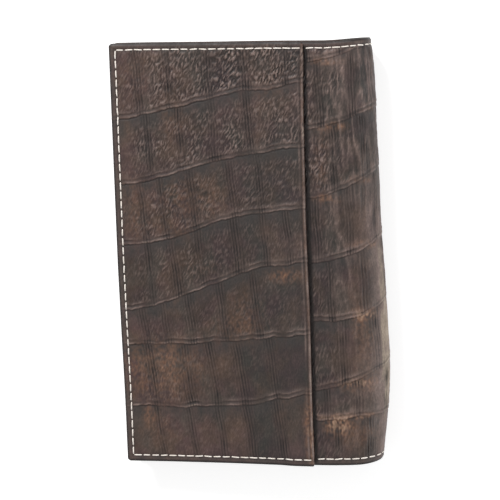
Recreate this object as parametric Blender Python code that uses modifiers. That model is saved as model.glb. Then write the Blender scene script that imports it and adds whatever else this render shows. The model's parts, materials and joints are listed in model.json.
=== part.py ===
"""A tall bifold rodeo wallet, closed and lying on its back cover.

Metres, +Z up. The origin is the middle of the back cover's outer face. +X runs to the rolled spine,
+Y to the top of the wallet. The front cover hangs on a spine of narrow leather segments, each turned
about a fold line that lies on the outer face of the leather. Every frame of the front cover and of
the spine has its own +X along the leather, away from the back cover, and its own +Z into the wallet.
"""

import math

import bmesh
import bpy

# Covers: one long piece of thick leather, lined, that folds at the spine
COVER_HEIGHT = 0.171
COVER_WIDTH = 0.096
SHELL_THICKNESS = 0.0014
LINING_THICKNESS = 0.0006
CORNER_RADIUS = 0.002
CLEARANCE = 0.0003

# Spine: the covers close to a wedge, and the spine rolls round from one to the other
SPINE_RADIUS = 0.0105
SPINE_SEGMENTS = 4
SPINE_FACETS = 6
WEDGE_DEGREES = 4.5

# Outside slip pocket: a second piece of the thick leather with its mouth turned under
OUTSIDE_POCKET_WIDTH = 0.0785
OUTSIDE_POCKET_THICKNESS = 0.001
HEM_LENGTH = 0.008
HEM_RISE = 0.005
HEM_FACETS = 8

# Inside leather, thinner and smooth
INSIDE_THICKNESS = 0.0008
INSIDE_FROM_FOLD = 0.003

# Card pockets: stepped strips, each a card's grip lower than the last
CARD_POCKETS = 4
CARD_POCKET_THICKNESS = 0.0007
CARD_POCKET_STEP = 0.012
CARD_POCKET_DEPTH = 0.045
CARD_MARGIN_TOP = 0.0085
CARD_MARGIN_FOLD = 0.004
CARD_TO_WINDOW = 0.004

# Window pocket: a clear film under a leather frame
WINDOW_FRAME_THICKNESS = 0.0007
WINDOW_FILM_THICKNESS = 0.0003
WINDOW_MARGIN_BOTTOM = 0.0025
WINDOW_POCKET_HEIGHT = 0.069
WINDOW_WIDTH = 0.076
WINDOW_HEIGHT = 0.053
WINDOW_CORNER = 0.003
FILM_INSET = 0.003
THUMB_NOTCH_RADIUS = 0.006

# Zip pocket: a raised leather panel with a long slot, over a folded cloth bag
PANEL_RIM = 0.003
PANEL_SLOPE = 0.003
PANEL_RAISE = 0.0021
BAG_THICKNESS = 0.0004
BAG_LAYER_SPACING = 0.0014
BAG_UNDER_TAPE = 0.002
BAG_END_MARGIN = 0.003
BAG_FOLD_FACETS = 6

# Zip: two toothed tapes that mesh on the slot's centre line
ZIP_FROM_FOLD = 0.019
ZIP_END_MARGIN = 0.0175
TAPE_THICKNESS = 0.0004
TAPE_EDGE = 0.0014
TAPE_REACH = 0.009
TAPE_END = 0.004
TOOTH_PITCH = 0.0024
TOOTH_THICKNESS = 0.001
TOOTH_HEIGHT = 0.0016
TOOTH_ROOT = 0.0021
TOOTH_OVERLAP = 0.0006
TOOTH_ROUNDING = 0.0003
STOP_WALL = 0.0005
STOP_GRIP = 0.0014
TOP_STOP_LENGTH = 0.0018
BOTTOM_STOP_LENGTH = 0.0028
SLOT_CLEARANCE = 0.0004

# Slider: two plates joined by a neck, with a bridge over the pull's cross bar
SLIDER_LENGTH = 0.009
SLIDER_PLATE = 0.0006
SLIDER_FLANGE = 0.0005
SLIDER_NOSE = 0.001
CHANNEL_CLEARANCE = 0.0002
NECK_HALF_WIDTH = 0.0005
NECK_LENGTH = 0.0034
SPREAD_START = -0.0018
SPREAD_LENGTH = 0.0036
BRIDGE_LENGTH = 0.0056
BRIDGE_WIDTH = 0.0016
BRIDGE_THICKNESS = 0.0005
BRIDGE_FACETS = 5

# Pull: a flat tab with an eye round the bridge
PULL_THICKNESS = 0.0007
PULL_BAR = 0.0008
PULL_EYE_WALL = 0.0008
PULL_TAB_WIDTH = 0.005
PULL_TAB_LENGTH = 0.011
PULL_HOLE_RADIUS = 0.0009

# How finely corners are rounded, and how close points are welded
CORNER_STEPS = 4
ROUND_STEPS = 12
WELD = 0.000001

# What follows from the sizes above
HALF_HEIGHT = COVER_HEIGHT / 2
FOLD_X = COVER_WIDTH / 2
SEGMENT_ANGLE = math.radians(180 + WEDGE_DEGREES) / SPINE_SEGMENTS
LINING_DEPTH = SHELL_THICKNESS + CLEARANCE
INSIDE_DEPTH = LINING_DEPTH + LINING_THICKNESS + CLEARANCE

BAG_Z = INSIDE_DEPTH + BAG_THICKNESS / 2
PANEL_Z = INSIDE_DEPTH + BAG_THICKNESS + CLEARANCE
PLATEAU_UNDERSIDE = PANEL_Z + PANEL_RAISE
TAPE_Z = PLATEAU_UNDERSIDE - CLEARANCE - TAPE_THICKNESS / 2
PANEL_FOLD_EDGE = FOLD_X - INSIDE_FROM_FOLD
WINDOW_POCKET_FOOT = -HALF_HEIGHT + WINDOW_MARGIN_BOTTOM
WINDOW_POCKET_TOP = WINDOW_POCKET_FOOT + WINDOW_POCKET_HEIGHT
PLATEAU_INSET = PANEL_RIM + PANEL_SLOPE

ZIP_X = FOLD_X - ZIP_FROM_FOLD
ZIP_TOP = HALF_HEIGHT - ZIP_END_MARGIN
ZIP_BOTTOM = -ZIP_TOP
SLIDER_Y = ZIP_TOP - CLEARANCE - SLIDER_LENGTH / 2
TOOTH_SPREAD = TOOTH_OVERLAP + NECK_HALF_WIDTH + CHANNEL_CLEARANCE
CHANNEL_HEIGHT = TOOTH_HEIGHT + 2 * CHANNEL_CLEARANCE
SLIDER_HEIGHT = CHANNEL_HEIGHT + 2 * SLIDER_PLATE
SLIDER_HALF_WIDTH = TOOTH_ROOT + TOOTH_SPREAD + CHANNEL_CLEARANCE + SLIDER_FLANGE
SLOT_HALF_WIDTH = SLIDER_HALF_WIDTH + SLOT_CLEARANCE
SLOT_HALF_LENGTH = ZIP_TOP + BOTTOM_STOP_LENGTH + CLEARANCE
PULL_Z = SLIDER_HEIGHT / 2 + CLEARANCE + PULL_THICKNESS / 2
BRIDGE_RISE = 2 * CLEARANCE + PULL_THICKNESS


def new_collection(name):
    """A collection of the scene for the wallet's pieces or for the shapes that cut them."""
    collection = bpy.data.collections.new(name)
    bpy.context.scene.collection.children.link(collection)
    return collection


def finish(name, colour, roughness, metallic=0.0, alpha=1.0):
    """A plain material of one colour."""
    material = bpy.data.materials.new(name)
    material.use_nodes = True
    shader = material.node_tree.nodes["Principled BSDF"]
    shader.inputs["Base Color"].default_value = (*colour, 1.0)
    shader.inputs["Roughness"].default_value = roughness
    shader.inputs["Metallic"].default_value = metallic
    shader.inputs["Alpha"].default_value = alpha
    return material


def frame_at(name, location, turn_y=0.0, parent=None):
    """An empty that carries the pieces of one moving body."""
    empty = bpy.data.objects.new(name, None)
    empty.empty_display_size = 0.01
    empty.location = location
    empty.rotation_euler = (0, turn_y, 0)
    empty.parent = parent
    wallet.objects.link(empty)
    return empty


def add_piece(name, mesh, material, parent=None, turn_z=0.0):
    """A sub-part of the wallet, in the frame that carries it."""
    piece = bpy.data.objects.new(name, mesh)
    piece.parent = parent
    piece.rotation_euler = (0, 0, turn_z)
    mesh.materials.clear()
    mesh.materials.append(material)
    wallet.objects.link(piece)
    return piece


def add_cutter(name, mesh, parent=None):
    """A shape that another piece is cut by or joined with, hidden itself."""
    cutter = bpy.data.objects.new(name, mesh)
    cutter.parent = parent
    cutter.hide_render = True
    cutter.display_type = "WIRE"
    cutters.objects.link(cutter)
    return cutter


def combine(piece, cutter, operation):
    """Cuts a piece by a cutter, or joins the cutter to it."""
    boolean = piece.modifiers.new(cutter.name, "BOOLEAN")
    boolean.operation = operation
    boolean.solver = "EXACT"
    boolean.object = cutter


def sheet_mesh(name, path, y_low, y_high):
    """An open surface: a path of (x, z) points swept along Y."""
    sheet = bmesh.new()
    points = [sheet.verts.new((x, y_low, z)) for x, z in path]
    edges = [sheet.edges.new(pair) for pair in zip(points, points[1:])]
    swept = bmesh.ops.extrude_edge_only(sheet, edges=edges)["geom"]
    moved = [item for item in swept if isinstance(item, bmesh.types.BMVert)]
    bmesh.ops.translate(sheet, vec=(0, y_high - y_low, 0), verts=moved)
    mesh = bpy.data.meshes.new(name)
    sheet.to_mesh(mesh)
    sheet.free()
    return mesh


def add_sheet(name, path, y_low, y_high, thickness, material, parent=None, turn_z=0.0, corners=()):
    """A piece of leather, cloth or metal of even thickness, whose middle follows a path.

    corners holds the x of each end of the path whose two corners are rounded.
    """
    piece = add_piece(name, sheet_mesh(name, path, y_low, y_high), material, parent, turn_z)
    solidify = piece.modifiers.new("Thickness", "SOLIDIFY")
    solidify.thickness = thickness
    solidify.offset = 0
    solidify.use_even_offset = True
    if corners:
        rounded = piece.vertex_groups.new(name="rounded")
        near = [v.index for v in piece.data.vertices if any(abs(v.co.x - x) < WELD for x in corners)]
        rounded.add(near, 1.0, "REPLACE")
        bevel = piece.modifiers.new("Corners", "BEVEL")
        bevel.limit_method = "VGROUP"
        bevel.vertex_group = "rounded"
        bevel.width = CORNER_RADIUS
        bevel.segments = CORNER_STEPS
    return piece


def arc(centre, radius, start, end, steps):
    """Points (x, y) along an arc, from one angle in radians to another."""
    turns = [start + (end - start) * step / steps for step in range(steps + 1)]
    return [(centre[0] + radius * math.cos(t), centre[1] + radius * math.sin(t)) for t in turns]


def rounded_rectangle(x_low, x_high, y_low, y_high, radius):
    """The outline of a rectangle with round corners, anticlockwise."""
    quarter = math.pi / 2
    corners = (
        ((x_low + radius, y_low + radius), 2 * quarter),
        ((x_high - radius, y_low + radius), 3 * quarter),
        ((x_high - radius, y_high - radius), 0.0),
        ((x_low + radius, y_high - radius), quarter),
    )
    return [p for centre, start in corners for p in arc(centre, radius, start, start + quarter, CORNER_STEPS)]


def plate_mesh(name, outlines, z_low, z_high):
    """A flat outline, with a hole for each further outline, between two heights."""
    curve = bpy.data.curves.new(name, "CURVE")
    curve.dimensions = "2D"
    curve.fill_mode = "BOTH"
    curve.extrude = (z_high - z_low) / 2
    for outline in outlines:
        spline = curve.splines.new("POLY")
        spline.points.add(len(outline) - 1)
        spline.use_cyclic_u = True
        for point, (x, y) in zip(spline.points, outline):
            point.co = (x, y, 0, 1)
    holder = bpy.data.objects.new(name, curve)
    cutters.objects.link(holder)
    evaluated = holder.evaluated_get(bpy.context.evaluated_depsgraph_get())
    mesh = bpy.data.meshes.new_from_object(evaluated)
    bpy.data.objects.remove(holder)
    plate = bmesh.new()
    plate.from_mesh(mesh)
    bmesh.ops.remove_doubles(plate, verts=plate.verts, dist=WELD)
    bmesh.ops.translate(plate, vec=(0, 0, (z_low + z_high) / 2), verts=plate.verts)
    bmesh.ops.recalc_face_normals(plate, faces=plate.faces)
    plate.to_mesh(mesh)
    plate.free()
    return mesh


def stand_up(mesh, y_low):
    """Turns a plate's outline from the XY plane to the XZ plane, its thickness running up from y_low."""
    for vertex in mesh.vertices:
        x, z, depth = vertex.co
        vertex.co = (x, y_low + depth, z)
    mesh.flip_normals()
    return mesh


def spine_arc(radius, centre_height):
    """The section of one spine segment at one radius, short of its fold lines by half a clearance."""
    margin = CLEARANCE / 2 / (radius - SHELL_THICKNESS)
    start = -math.pi / 2 + margin
    end = -math.pi / 2 + SEGMENT_ANGLE - margin
    return arc((0, centre_height), radius, start, end, SPINE_FACETS)


def build_back_cover():
    """The back cover's leather and its lining."""
    fold_edge = FOLD_X - CLEARANCE / 2
    for name, depth, thickness, material in (
        ("back_panel", 0, SHELL_THICKNESS, croc_leather),
        ("back_lining", LINING_DEPTH, LINING_THICKNESS, lining_cloth),
    ):
        path = [(-FOLD_X, depth + thickness / 2), (fold_edge, depth + thickness / 2)]
        add_sheet(name, path, -HALF_HEIGHT, HALF_HEIGHT, thickness, material, corners=(-FOLD_X,))


def build_spine():
    """The rolled spine: leather and lining segments in a chain of frames on the fold lines."""
    turn = 0.0
    parent = None
    location = (FOLD_X, 0, 0)
    for number in range(1, SPINE_SEGMENTS + 1):
        parent = frame_at(f"fold_{number}", location, turn, parent)
        for name, depth, thickness, material in (
            ("spine_leather", 0, SHELL_THICKNESS, croc_leather),
            ("spine_lining", LINING_DEPTH, LINING_THICKNESS, lining_cloth),
        ):
            path = spine_arc(SPINE_RADIUS - depth - thickness / 2, SPINE_RADIUS)
            add_sheet(f"{name}_{number}", path, -HALF_HEIGHT, HALF_HEIGHT, thickness, material, parent)
        rise = SPINE_RADIUS * (1 - math.cos(SEGMENT_ANGLE))
        location = (SPINE_RADIUS * math.sin(SEGMENT_ANGLE), 0, rise)
        turn = -SEGMENT_ANGLE
    return frame_at(f"fold_{SPINE_SEGMENTS + 1}", location, turn, parent)


def build_front_cover(front):
    """The front cover's leather, its lining, and the leather that the inside pockets are sewn on."""
    for name, depth, thickness, start, material in (
        ("front_panel", 0, SHELL_THICKNESS, CLEARANCE / 2, croc_leather),
        ("front_lining", LINING_DEPTH, LINING_THICKNESS, CLEARANCE / 2, lining_cloth),
        ("card_panel_base", INSIDE_DEPTH, INSIDE_THICKNESS, INSIDE_FROM_FOLD, inside_leather),
    ):
        path = [(start, depth + thickness / 2), (COVER_WIDTH, depth + thickness / 2)]
        add_sheet(name, path, -HALF_HEIGHT, HALF_HEIGHT, thickness, material, front, corners=(COVER_WIDTH,))


def build_outside_pocket(front):
    """The outside pocket's leather: flat on the front cover, and turned under along its mouth."""
    spacing = OUTSIDE_POCKET_THICKNESS + CLEARANCE
    low = -CLEARANCE - OUTSIDE_POCKET_THICKNESS / 2
    high = low - spacing
    fold_radius = spacing / 2
    fold_x = COVER_WIDTH - OUTSIDE_POCKET_WIDTH + fold_radius + OUTSIDE_POCKET_THICKNESS / 2
    hem_end = fold_x + HEM_LENGTH
    path = [(hem_end - OUTSIDE_POCKET_THICKNESS, low)]
    path += arc((fold_x, low - fold_radius), fold_radius, math.pi / 2, 1.5 * math.pi, HEM_FACETS)
    path += [(hem_end, high), (hem_end + HEM_RISE, low), (COVER_WIDTH, low)]
    add_sheet(
        "front_pocket_panel",
        path,
        -HALF_HEIGHT,
        HALF_HEIGHT,
        OUTSIDE_POCKET_THICKNESS,
        croc_leather,
        front,
        corners=(COVER_WIDTH,),
    )


def build_card_pockets(front):
    """The stepped card pockets. Each slopes down to the base where the ones under it have ended.

    Their lower ends share what room there is above the window pocket.
    """
    level_height = CARD_POCKET_THICKNESS + CLEARANCE
    base = INSIDE_DEPTH + INSIDE_THICKNESS + CLEARANCE + CARD_POCKET_THICKNESS / 2
    first_mouth = HALF_HEIGHT - CARD_MARGIN_TOP
    first_end = first_mouth - CARD_POCKET_DEPTH
    last_end = WINDOW_POCKET_TOP + CARD_TO_WINDOW
    end_step = (first_end - last_end) / (CARD_POCKETS - 0.5)
    for number in range(1, CARD_POCKETS + 1):
        mouth = first_mouth - CARD_POCKET_STEP * (number - 1)
        top_level = base + level_height * (number - 1)
        slope_end = first_end - end_step * (number - 1)
        path = [(mouth, top_level), (first_end, top_level)]
        if number > 1:
            path.append((slope_end, base))
        if number == CARD_POCKETS:
            path.append((last_end, base))
        add_sheet(
            f"card_pocket_{number}",
            path,
            -COVER_WIDTH,
            -CARD_MARGIN_FOLD,
            CARD_POCKET_THICKNESS,
            inside_leather,
            front,
            turn_z=math.pi / 2,
        )


def build_window_pocket(front):
    """The identity-card pocket: clear film under a leather frame with a thumb notch in its top bar."""
    y_low = WINDOW_POCKET_FOOT
    y_high = WINDOW_POCKET_TOP
    x_low = CARD_MARGIN_FOLD
    film_depth = INSIDE_DEPTH + INSIDE_THICKNESS + CLEARANCE + WINDOW_FILM_THICKNESS / 2
    film_path = [(x_low + FILM_INSET, film_depth), (COVER_WIDTH - FILM_INSET, film_depth)]
    add_sheet(
        "id_window_film",
        film_path,
        y_low + FILM_INSET,
        y_high - FILM_INSET,
        WINDOW_FILM_THICKNESS,
        clear_film,
        front,
    )
    frame_low = film_depth + WINDOW_FILM_THICKNESS / 2 + CLEARANCE
    frame_high = frame_low + WINDOW_FRAME_THICKNESS
    middle_x = (x_low + COVER_WIDTH) / 2
    middle_y = (y_low + y_high) / 2
    outer = rounded_rectangle(x_low, COVER_WIDTH, y_low, y_high, CORNER_RADIUS)
    window = rounded_rectangle(
        middle_x - WINDOW_WIDTH / 2,
        middle_x + WINDOW_WIDTH / 2,
        middle_y - WINDOW_HEIGHT / 2,
        middle_y + WINDOW_HEIGHT / 2,
        WINDOW_CORNER,
    )
    frame_mesh = plate_mesh("id_window_frame", [outer, window], frame_low, frame_high)
    frame = add_piece("id_window_frame", frame_mesh, inside_leather, front)
    notch_outline = arc((middle_x, y_high), THUMB_NOTCH_RADIUS, 0, 2 * math.pi, 2 * ROUND_STEPS)[:-1]
    notch_mesh = plate_mesh("thumb_notch", [notch_outline], frame_low - CLEARANCE / 2, frame_high + CLEARANCE)
    combine(frame, add_cutter("thumb_notch", notch_mesh, front), "DIFFERENCE")


def build_zip_pocket():
    """The cloth bag, folded in two and sewn under the zip, and the raised leather panel over it."""
    plateau_fold = PANEL_FOLD_EDGE - PLATEAU_INSET - CLEARANCE
    plateau_free = -FOLD_X + PLATEAU_INSET + CLEARANCE
    turn_radius = BAG_LAYER_SPACING / 2
    turn_reach = turn_radius + BAG_THICKNESS / 2
    upper = BAG_Z + BAG_LAYER_SPACING
    middle = BAG_Z + turn_radius
    path = [(ZIP_X + TAPE_REACH - BAG_UNDER_TAPE, upper)]
    path += arc((plateau_fold - turn_reach, middle), turn_radius, math.pi / 2, -math.pi / 2, BAG_FOLD_FACETS)
    path += arc((plateau_free + turn_reach, middle), turn_radius, 1.5 * math.pi, math.pi / 2, BAG_FOLD_FACETS)
    path.append((ZIP_X - TAPE_REACH + BAG_UNDER_TAPE, upper))
    bag_reach = HALF_HEIGHT - PLATEAU_INSET - BAG_END_MARGIN
    add_sheet("zip_pocket_bag", path, -bag_reach, bag_reach, BAG_THICKNESS, lining_cloth)

    panel = bmesh.new()
    bmesh.ops.create_grid(panel, x_segments=1, y_segments=1, size=0.5)
    width = PANEL_FOLD_EDGE + FOLD_X
    bmesh.ops.scale(panel, vec=(width, COVER_HEIGHT, 1), verts=panel.verts)
    middle_x = (PANEL_FOLD_EDGE - FOLD_X) / 2
    bmesh.ops.translate(panel, vec=(middle_x, 0, PANEL_Z), verts=panel.verts)
    plateau = panel.faces[:]
    for inset, raised in ((PANEL_RIM, 0), (PANEL_SLOPE, PANEL_RAISE)):
        bmesh.ops.inset_region(
            panel,
            faces=plateau,
            thickness=inset,
            depth=raised,
            use_boundary=True,
            use_even_offset=True,
        )
    mesh = bpy.data.meshes.new("zip_pocket_panel")
    panel.to_mesh(mesh)
    panel.free()
    piece = add_piece("zip_pocket_panel", mesh, inside_leather)
    solidify = piece.modifiers.new("Thickness", "SOLIDIFY")
    solidify.thickness = INSIDE_THICKNESS
    solidify.offset = 1
    solidify.use_even_offset = True
    slot_outline = rounded_rectangle(
        ZIP_X - SLOT_HALF_WIDTH,
        ZIP_X + SLOT_HALF_WIDTH,
        -SLOT_HALF_LENGTH,
        SLOT_HALF_LENGTH,
        CORNER_RADIUS,
    )
    slot = plate_mesh("zip_slot", [slot_outline], TAPE_Z, PLATEAU_UNDERSIDE + 2 * INSIDE_THICKNESS)
    combine(piece, add_cutter("zip_slot", slot), "DIFFERENCE")


def spread_at(y):
    """How far the neck holds one row of teeth out from where it meshes, at a place along the slider."""
    share = (y - SLIDER_Y - SPREAD_START) / SPREAD_LENGTH
    share = min(max(share, 0.0), 1.0)
    return TOOTH_SPREAD * share * share * (3 - 2 * share)


def spread_stations(y_low, y_high):
    """Places along the zip where an edge that follows the spread needs a point."""
    start = SLIDER_Y + SPREAD_START
    bends = [start + SPREAD_LENGTH * step / 6 for step in range(7)]
    return [y_low] + [y for y in bends if y_low < y < y_high] + [y_high]


def build_toothed_tape(name, side, first_tooth):
    """One half of the zip: a woven tape with a row of metal teeth clamped on its inner edge.

    side is +1 towards the fold and -1 towards the free edge.
    """
    tape_low = -SLOT_HALF_LENGTH - TAPE_END
    tape_high = SLOT_HALF_LENGTH + TAPE_END
    inner = [(side * (TAPE_EDGE + spread_at(y)), y) for y in spread_stations(tape_low, tape_high)]
    outer = [(side * TAPE_REACH, tape_high), (side * TAPE_REACH, tape_low)]
    tape_mesh = plate_mesh(name, [inner + outer], -TAPE_THICKNESS / 2, TAPE_THICKNESS / 2)
    tape = add_piece(name, tape_mesh, zip_metal)
    tape.location = (ZIP_X, 0, TAPE_Z)

    teeth = bmesh.new()
    length = TOOTH_ROOT + TOOTH_OVERLAP
    y = first_tooth
    while y + TOOTH_THICKNESS / 2 < ZIP_TOP:
        tooth = bmesh.ops.create_cube(teeth, size=1)["verts"]
        bmesh.ops.scale(teeth, vec=(length, TOOTH_THICKNESS, TOOTH_HEIGHT), verts=tooth)
        middle = side * ((TOOTH_ROOT - TOOTH_OVERLAP) / 2 + spread_at(y))
        bmesh.ops.translate(teeth, vec=(middle, y, 0), verts=tooth)
        edges = {edge for vertex in tooth for edge in vertex.link_edges}
        head = [e for e in edges if all((v.co.x - middle) * side < 0 for v in e.verts)]
        upright = [e for e in head if abs(e.verts[0].co.z - e.verts[1].co.z) > TOOTH_HEIGHT / 2]
        bmesh.ops.bevel(teeth, geom=upright, offset=TOOTH_ROUNDING, segments=2, profile=0.5, affect="EDGES")
        y += TOOTH_PITCH
    teeth_mesh = bpy.data.meshes.new(name + "_teeth")
    teeth.to_mesh(teeth_mesh)
    teeth.free()
    cutter = add_cutter(name + "_teeth", teeth_mesh)
    cutter.location = tape.location
    combine(tape, cutter, "UNION")


def build_stops():
    """The stops: a clip on each tape above the slider, and one block that holds both tapes at the foot."""
    groove = TAPE_THICKNESS / 2 + CLEARANCE
    wall = groove + STOP_WALL
    for name, side in (("zip_top_stop_fold_side", 1), ("zip_top_stop_edge_side", -1)):
        edge = TAPE_EDGE + TOOTH_SPREAD
        web = edge - CLEARANCE
        tip = edge + STOP_GRIP
        outline = [(web - STOP_WALL, -wall), (tip, -wall), (tip, -groove), (web, -groove)]
        outline += [(x, -z) for x, z in reversed(outline)]
        outline = [(side * x, z) for x, z in outline]
        mesh = stand_up(plate_mesh(name, [outline], 0, TOP_STOP_LENGTH), ZIP_TOP)
        add_piece(name, mesh, zip_metal).location = (ZIP_X, 0, TAPE_Z)
    web = TAPE_EDGE - CLEARANCE
    tip = TAPE_EDGE + STOP_GRIP / 2
    quarter = [(tip, wall), (tip, groove), (web, groove)]
    right = quarter + [(x, -z) for x, z in reversed(quarter)]
    outline = right + [(-x, -z) for x, z in right]
    name = "zip_bottom_stop"
    mesh = stand_up(plate_mesh(name, [outline], 0, BOTTOM_STOP_LENGTH), ZIP_BOTTOM - BOTTOM_STOP_LENGTH)
    add_piece(name, mesh, zip_metal).location = (ZIP_X, 0, TAPE_Z)


def slider_outline(half_width_extra, overrun):
    """The slider's plan: narrow where the meshed teeth leave, wide where the two rows enter.

    It widens half a tooth ahead of the rows, so that each tooth's corners pass.
    """
    y_low = -SLIDER_LENGTH / 2 - overrun
    y_high = SLIDER_LENGTH / 2 + overrun
    stations = spread_stations(SLIDER_Y + y_low, SLIDER_Y + y_high)
    ahead = TOOTH_THICKNESS / 2
    right = [(TOOTH_ROOT + spread_at(y + ahead) + half_width_extra, y - SLIDER_Y) for y in stations]
    if not overrun:
        nose_x, nose_y = right[-1]
        right[-1] = (nose_x, nose_y - SLIDER_NOSE)
        right.append((nose_x - SLIDER_NOSE, nose_y))
    return right + [(-x, y) for x, y in reversed(right)]


def build_slider():
    """The slider and its pull: plates with flanges, the neck between them, the bridge and the tab."""
    slider = frame_at("zip_slide", (ZIP_X, SLIDER_Y, TAPE_Z))
    half = SLIDER_HEIGHT / 2
    body_outline = slider_outline(CHANNEL_CLEARANCE + SLIDER_FLANGE, 0)
    body = add_piece("zip_slider_body", plate_mesh("zip_slider_body", [body_outline], -half, half), zip_metal, slider)

    channel_outline = slider_outline(CHANNEL_CLEARANCE, CLEARANCE)
    channel_half = CHANNEL_HEIGHT / 2
    channel = plate_mesh("slider_channel", [channel_outline], -channel_half, channel_half)
    combine(body, add_cutter("slider_channel", channel, slider), "DIFFERENCE")

    slit_half = TAPE_THICKNESS / 2 + CLEARANCE
    reach_x = SLIDER_HALF_WIDTH + CLEARANCE
    reach_y = SLIDER_LENGTH / 2 + CLEARANCE
    slit_outline = [(-reach_x, -reach_y), (reach_x, -reach_y), (reach_x, reach_y), (-reach_x, reach_y)]
    slit = plate_mesh("slider_slit", [slit_outline], -slit_half, slit_half)
    combine(body, add_cutter("slider_slit", slit, slider), "DIFFERENCE")

    neck_high = SLIDER_LENGTH / 2 - SLIDER_NOSE / 4
    neck_low = neck_high - NECK_LENGTH
    neck_wide = neck_high - NECK_LENGTH / 4
    neck_tip = NECK_HALF_WIDTH / 2
    neck_outline = [(0, neck_low), (NECK_HALF_WIDTH, neck_wide), (neck_tip, neck_high)]
    neck_outline += [(-neck_tip, neck_high), (-NECK_HALF_WIDTH, neck_wide)]
    neck_reach = channel_half + SLIDER_PLATE / 2
    neck = plate_mesh("slider_neck", [neck_outline], -neck_reach, neck_reach)
    combine(body, add_cutter("slider_neck", neck, slider), "UNION")

    foot = half - SLIDER_PLATE / 2
    crown = half + BRIDGE_RISE + BRIDGE_THICKNESS / 2
    bend = BRIDGE_THICKNESS
    leg = BRIDGE_LENGTH / 2 - BRIDGE_THICKNESS / 2
    path = [(-leg, foot)] + arc((-leg + bend, crown - bend), bend, math.pi, math.pi / 2, BRIDGE_FACETS)
    path += arc((leg - bend, crown - bend), bend, math.pi / 2, 0, BRIDGE_FACETS) + [(leg, foot)]
    bridge_mesh = sheet_mesh("slider_bridge", path, -BRIDGE_WIDTH / 2, BRIDGE_WIDTH / 2)
    bridge = add_cutter("slider_bridge", bridge_mesh, slider)
    bridge.rotation_euler = (0, 0, math.pi / 2)
    solidify = bridge.modifiers.new("Thickness", "SOLIDIFY")
    solidify.thickness = BRIDGE_THICKNESS
    solidify.offset = 0
    solidify.use_even_offset = True
    combine(body, bridge, "UNION")

    pull = frame_at("pull_swing", (0, 0, PULL_Z), parent=slider)
    eye_half = BRIDGE_WIDTH / 2 + CLEARANCE
    eye_end = -BRIDGE_LENGTH / 2 - 2 * CLEARANCE
    shoulder = eye_end - PULL_EYE_WALL
    tab_end = shoulder - PULL_TAB_LENGTH
    tab_half = PULL_TAB_WIDTH / 2
    ring_half = eye_half + PULL_EYE_WALL
    bar_half = PULL_BAR / 2
    corner_x = tab_half - CORNER_RADIUS
    corner_y = tab_end + CORNER_RADIUS
    outline = [(ring_half, bar_half), (-ring_half, bar_half), (-ring_half, shoulder)]
    outline += arc((-corner_x, corner_y), CORNER_RADIUS, math.pi, 1.5 * math.pi, CORNER_STEPS)
    outline += arc((corner_x, corner_y), CORNER_RADIUS, 1.5 * math.pi, 2 * math.pi, CORNER_STEPS)
    outline.append((ring_half, shoulder))
    eye = [(eye_half, -bar_half), (-eye_half, -bar_half), (-eye_half, eye_end), (eye_half, eye_end)]
    hole = arc((0, corner_y), PULL_HOLE_RADIUS, 0, 2 * math.pi, ROUND_STEPS)[:-1]
    tab_mesh = plate_mesh("zip_pull_tab", [outline, eye, hole], -PULL_THICKNESS / 2, PULL_THICKNESS / 2)
    add_piece("zip_pull_tab", tab_mesh, zip_metal, pull)


for leftover in list(bpy.data.objects):
    bpy.data.objects.remove(leftover, do_unlink=True)

wallet = new_collection("rodeo_wallet")
cutters = new_collection("cutters")

croc_leather = finish("croc_leather", (0.065, 0.045, 0.038), 0.5)
inside_leather = finish("inside_leather", (0.16, 0.075, 0.035), 0.55)
lining_cloth = finish("lining_cloth", (0.05, 0.035, 0.028), 0.9)
clear_film = finish("clear_film", (0.9, 0.92, 0.92), 0.1, alpha=0.3)
zip_metal = finish("zip_metal", (0.55, 0.42, 0.22), 0.35, metallic=1.0)

build_back_cover()
front_frame = build_spine()
build_front_cover(front_frame)
build_outside_pocket(front_frame)
build_card_pockets(front_frame)
build_window_pocket(front_frame)
build_zip_pocket()
build_toothed_tape("zip_chain_fold_side", 1, ZIP_BOTTOM + TOOTH_THICKNESS)
build_toothed_tape("zip_chain_edge_side", -1, ZIP_BOTTOM + TOOTH_THICKNESS + TOOTH_PITCH / 2)
build_stops()
build_slider()
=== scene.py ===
"""The looks of a tall bifold wallet of crocodile-embossed leather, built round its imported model.

Lengths in the sections are millimetres, and MM turns them into the scene's metres. A place on the
outer leather is given as it lay on the bench: across, from the front cover's free edge over the
spine to the back cover's free edge, and along, from the middle of the wallet towards its top.
"""

import json
import math

import bmesh
import bpy
import numpy as np
from mathutils import Matrix, Vector


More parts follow.
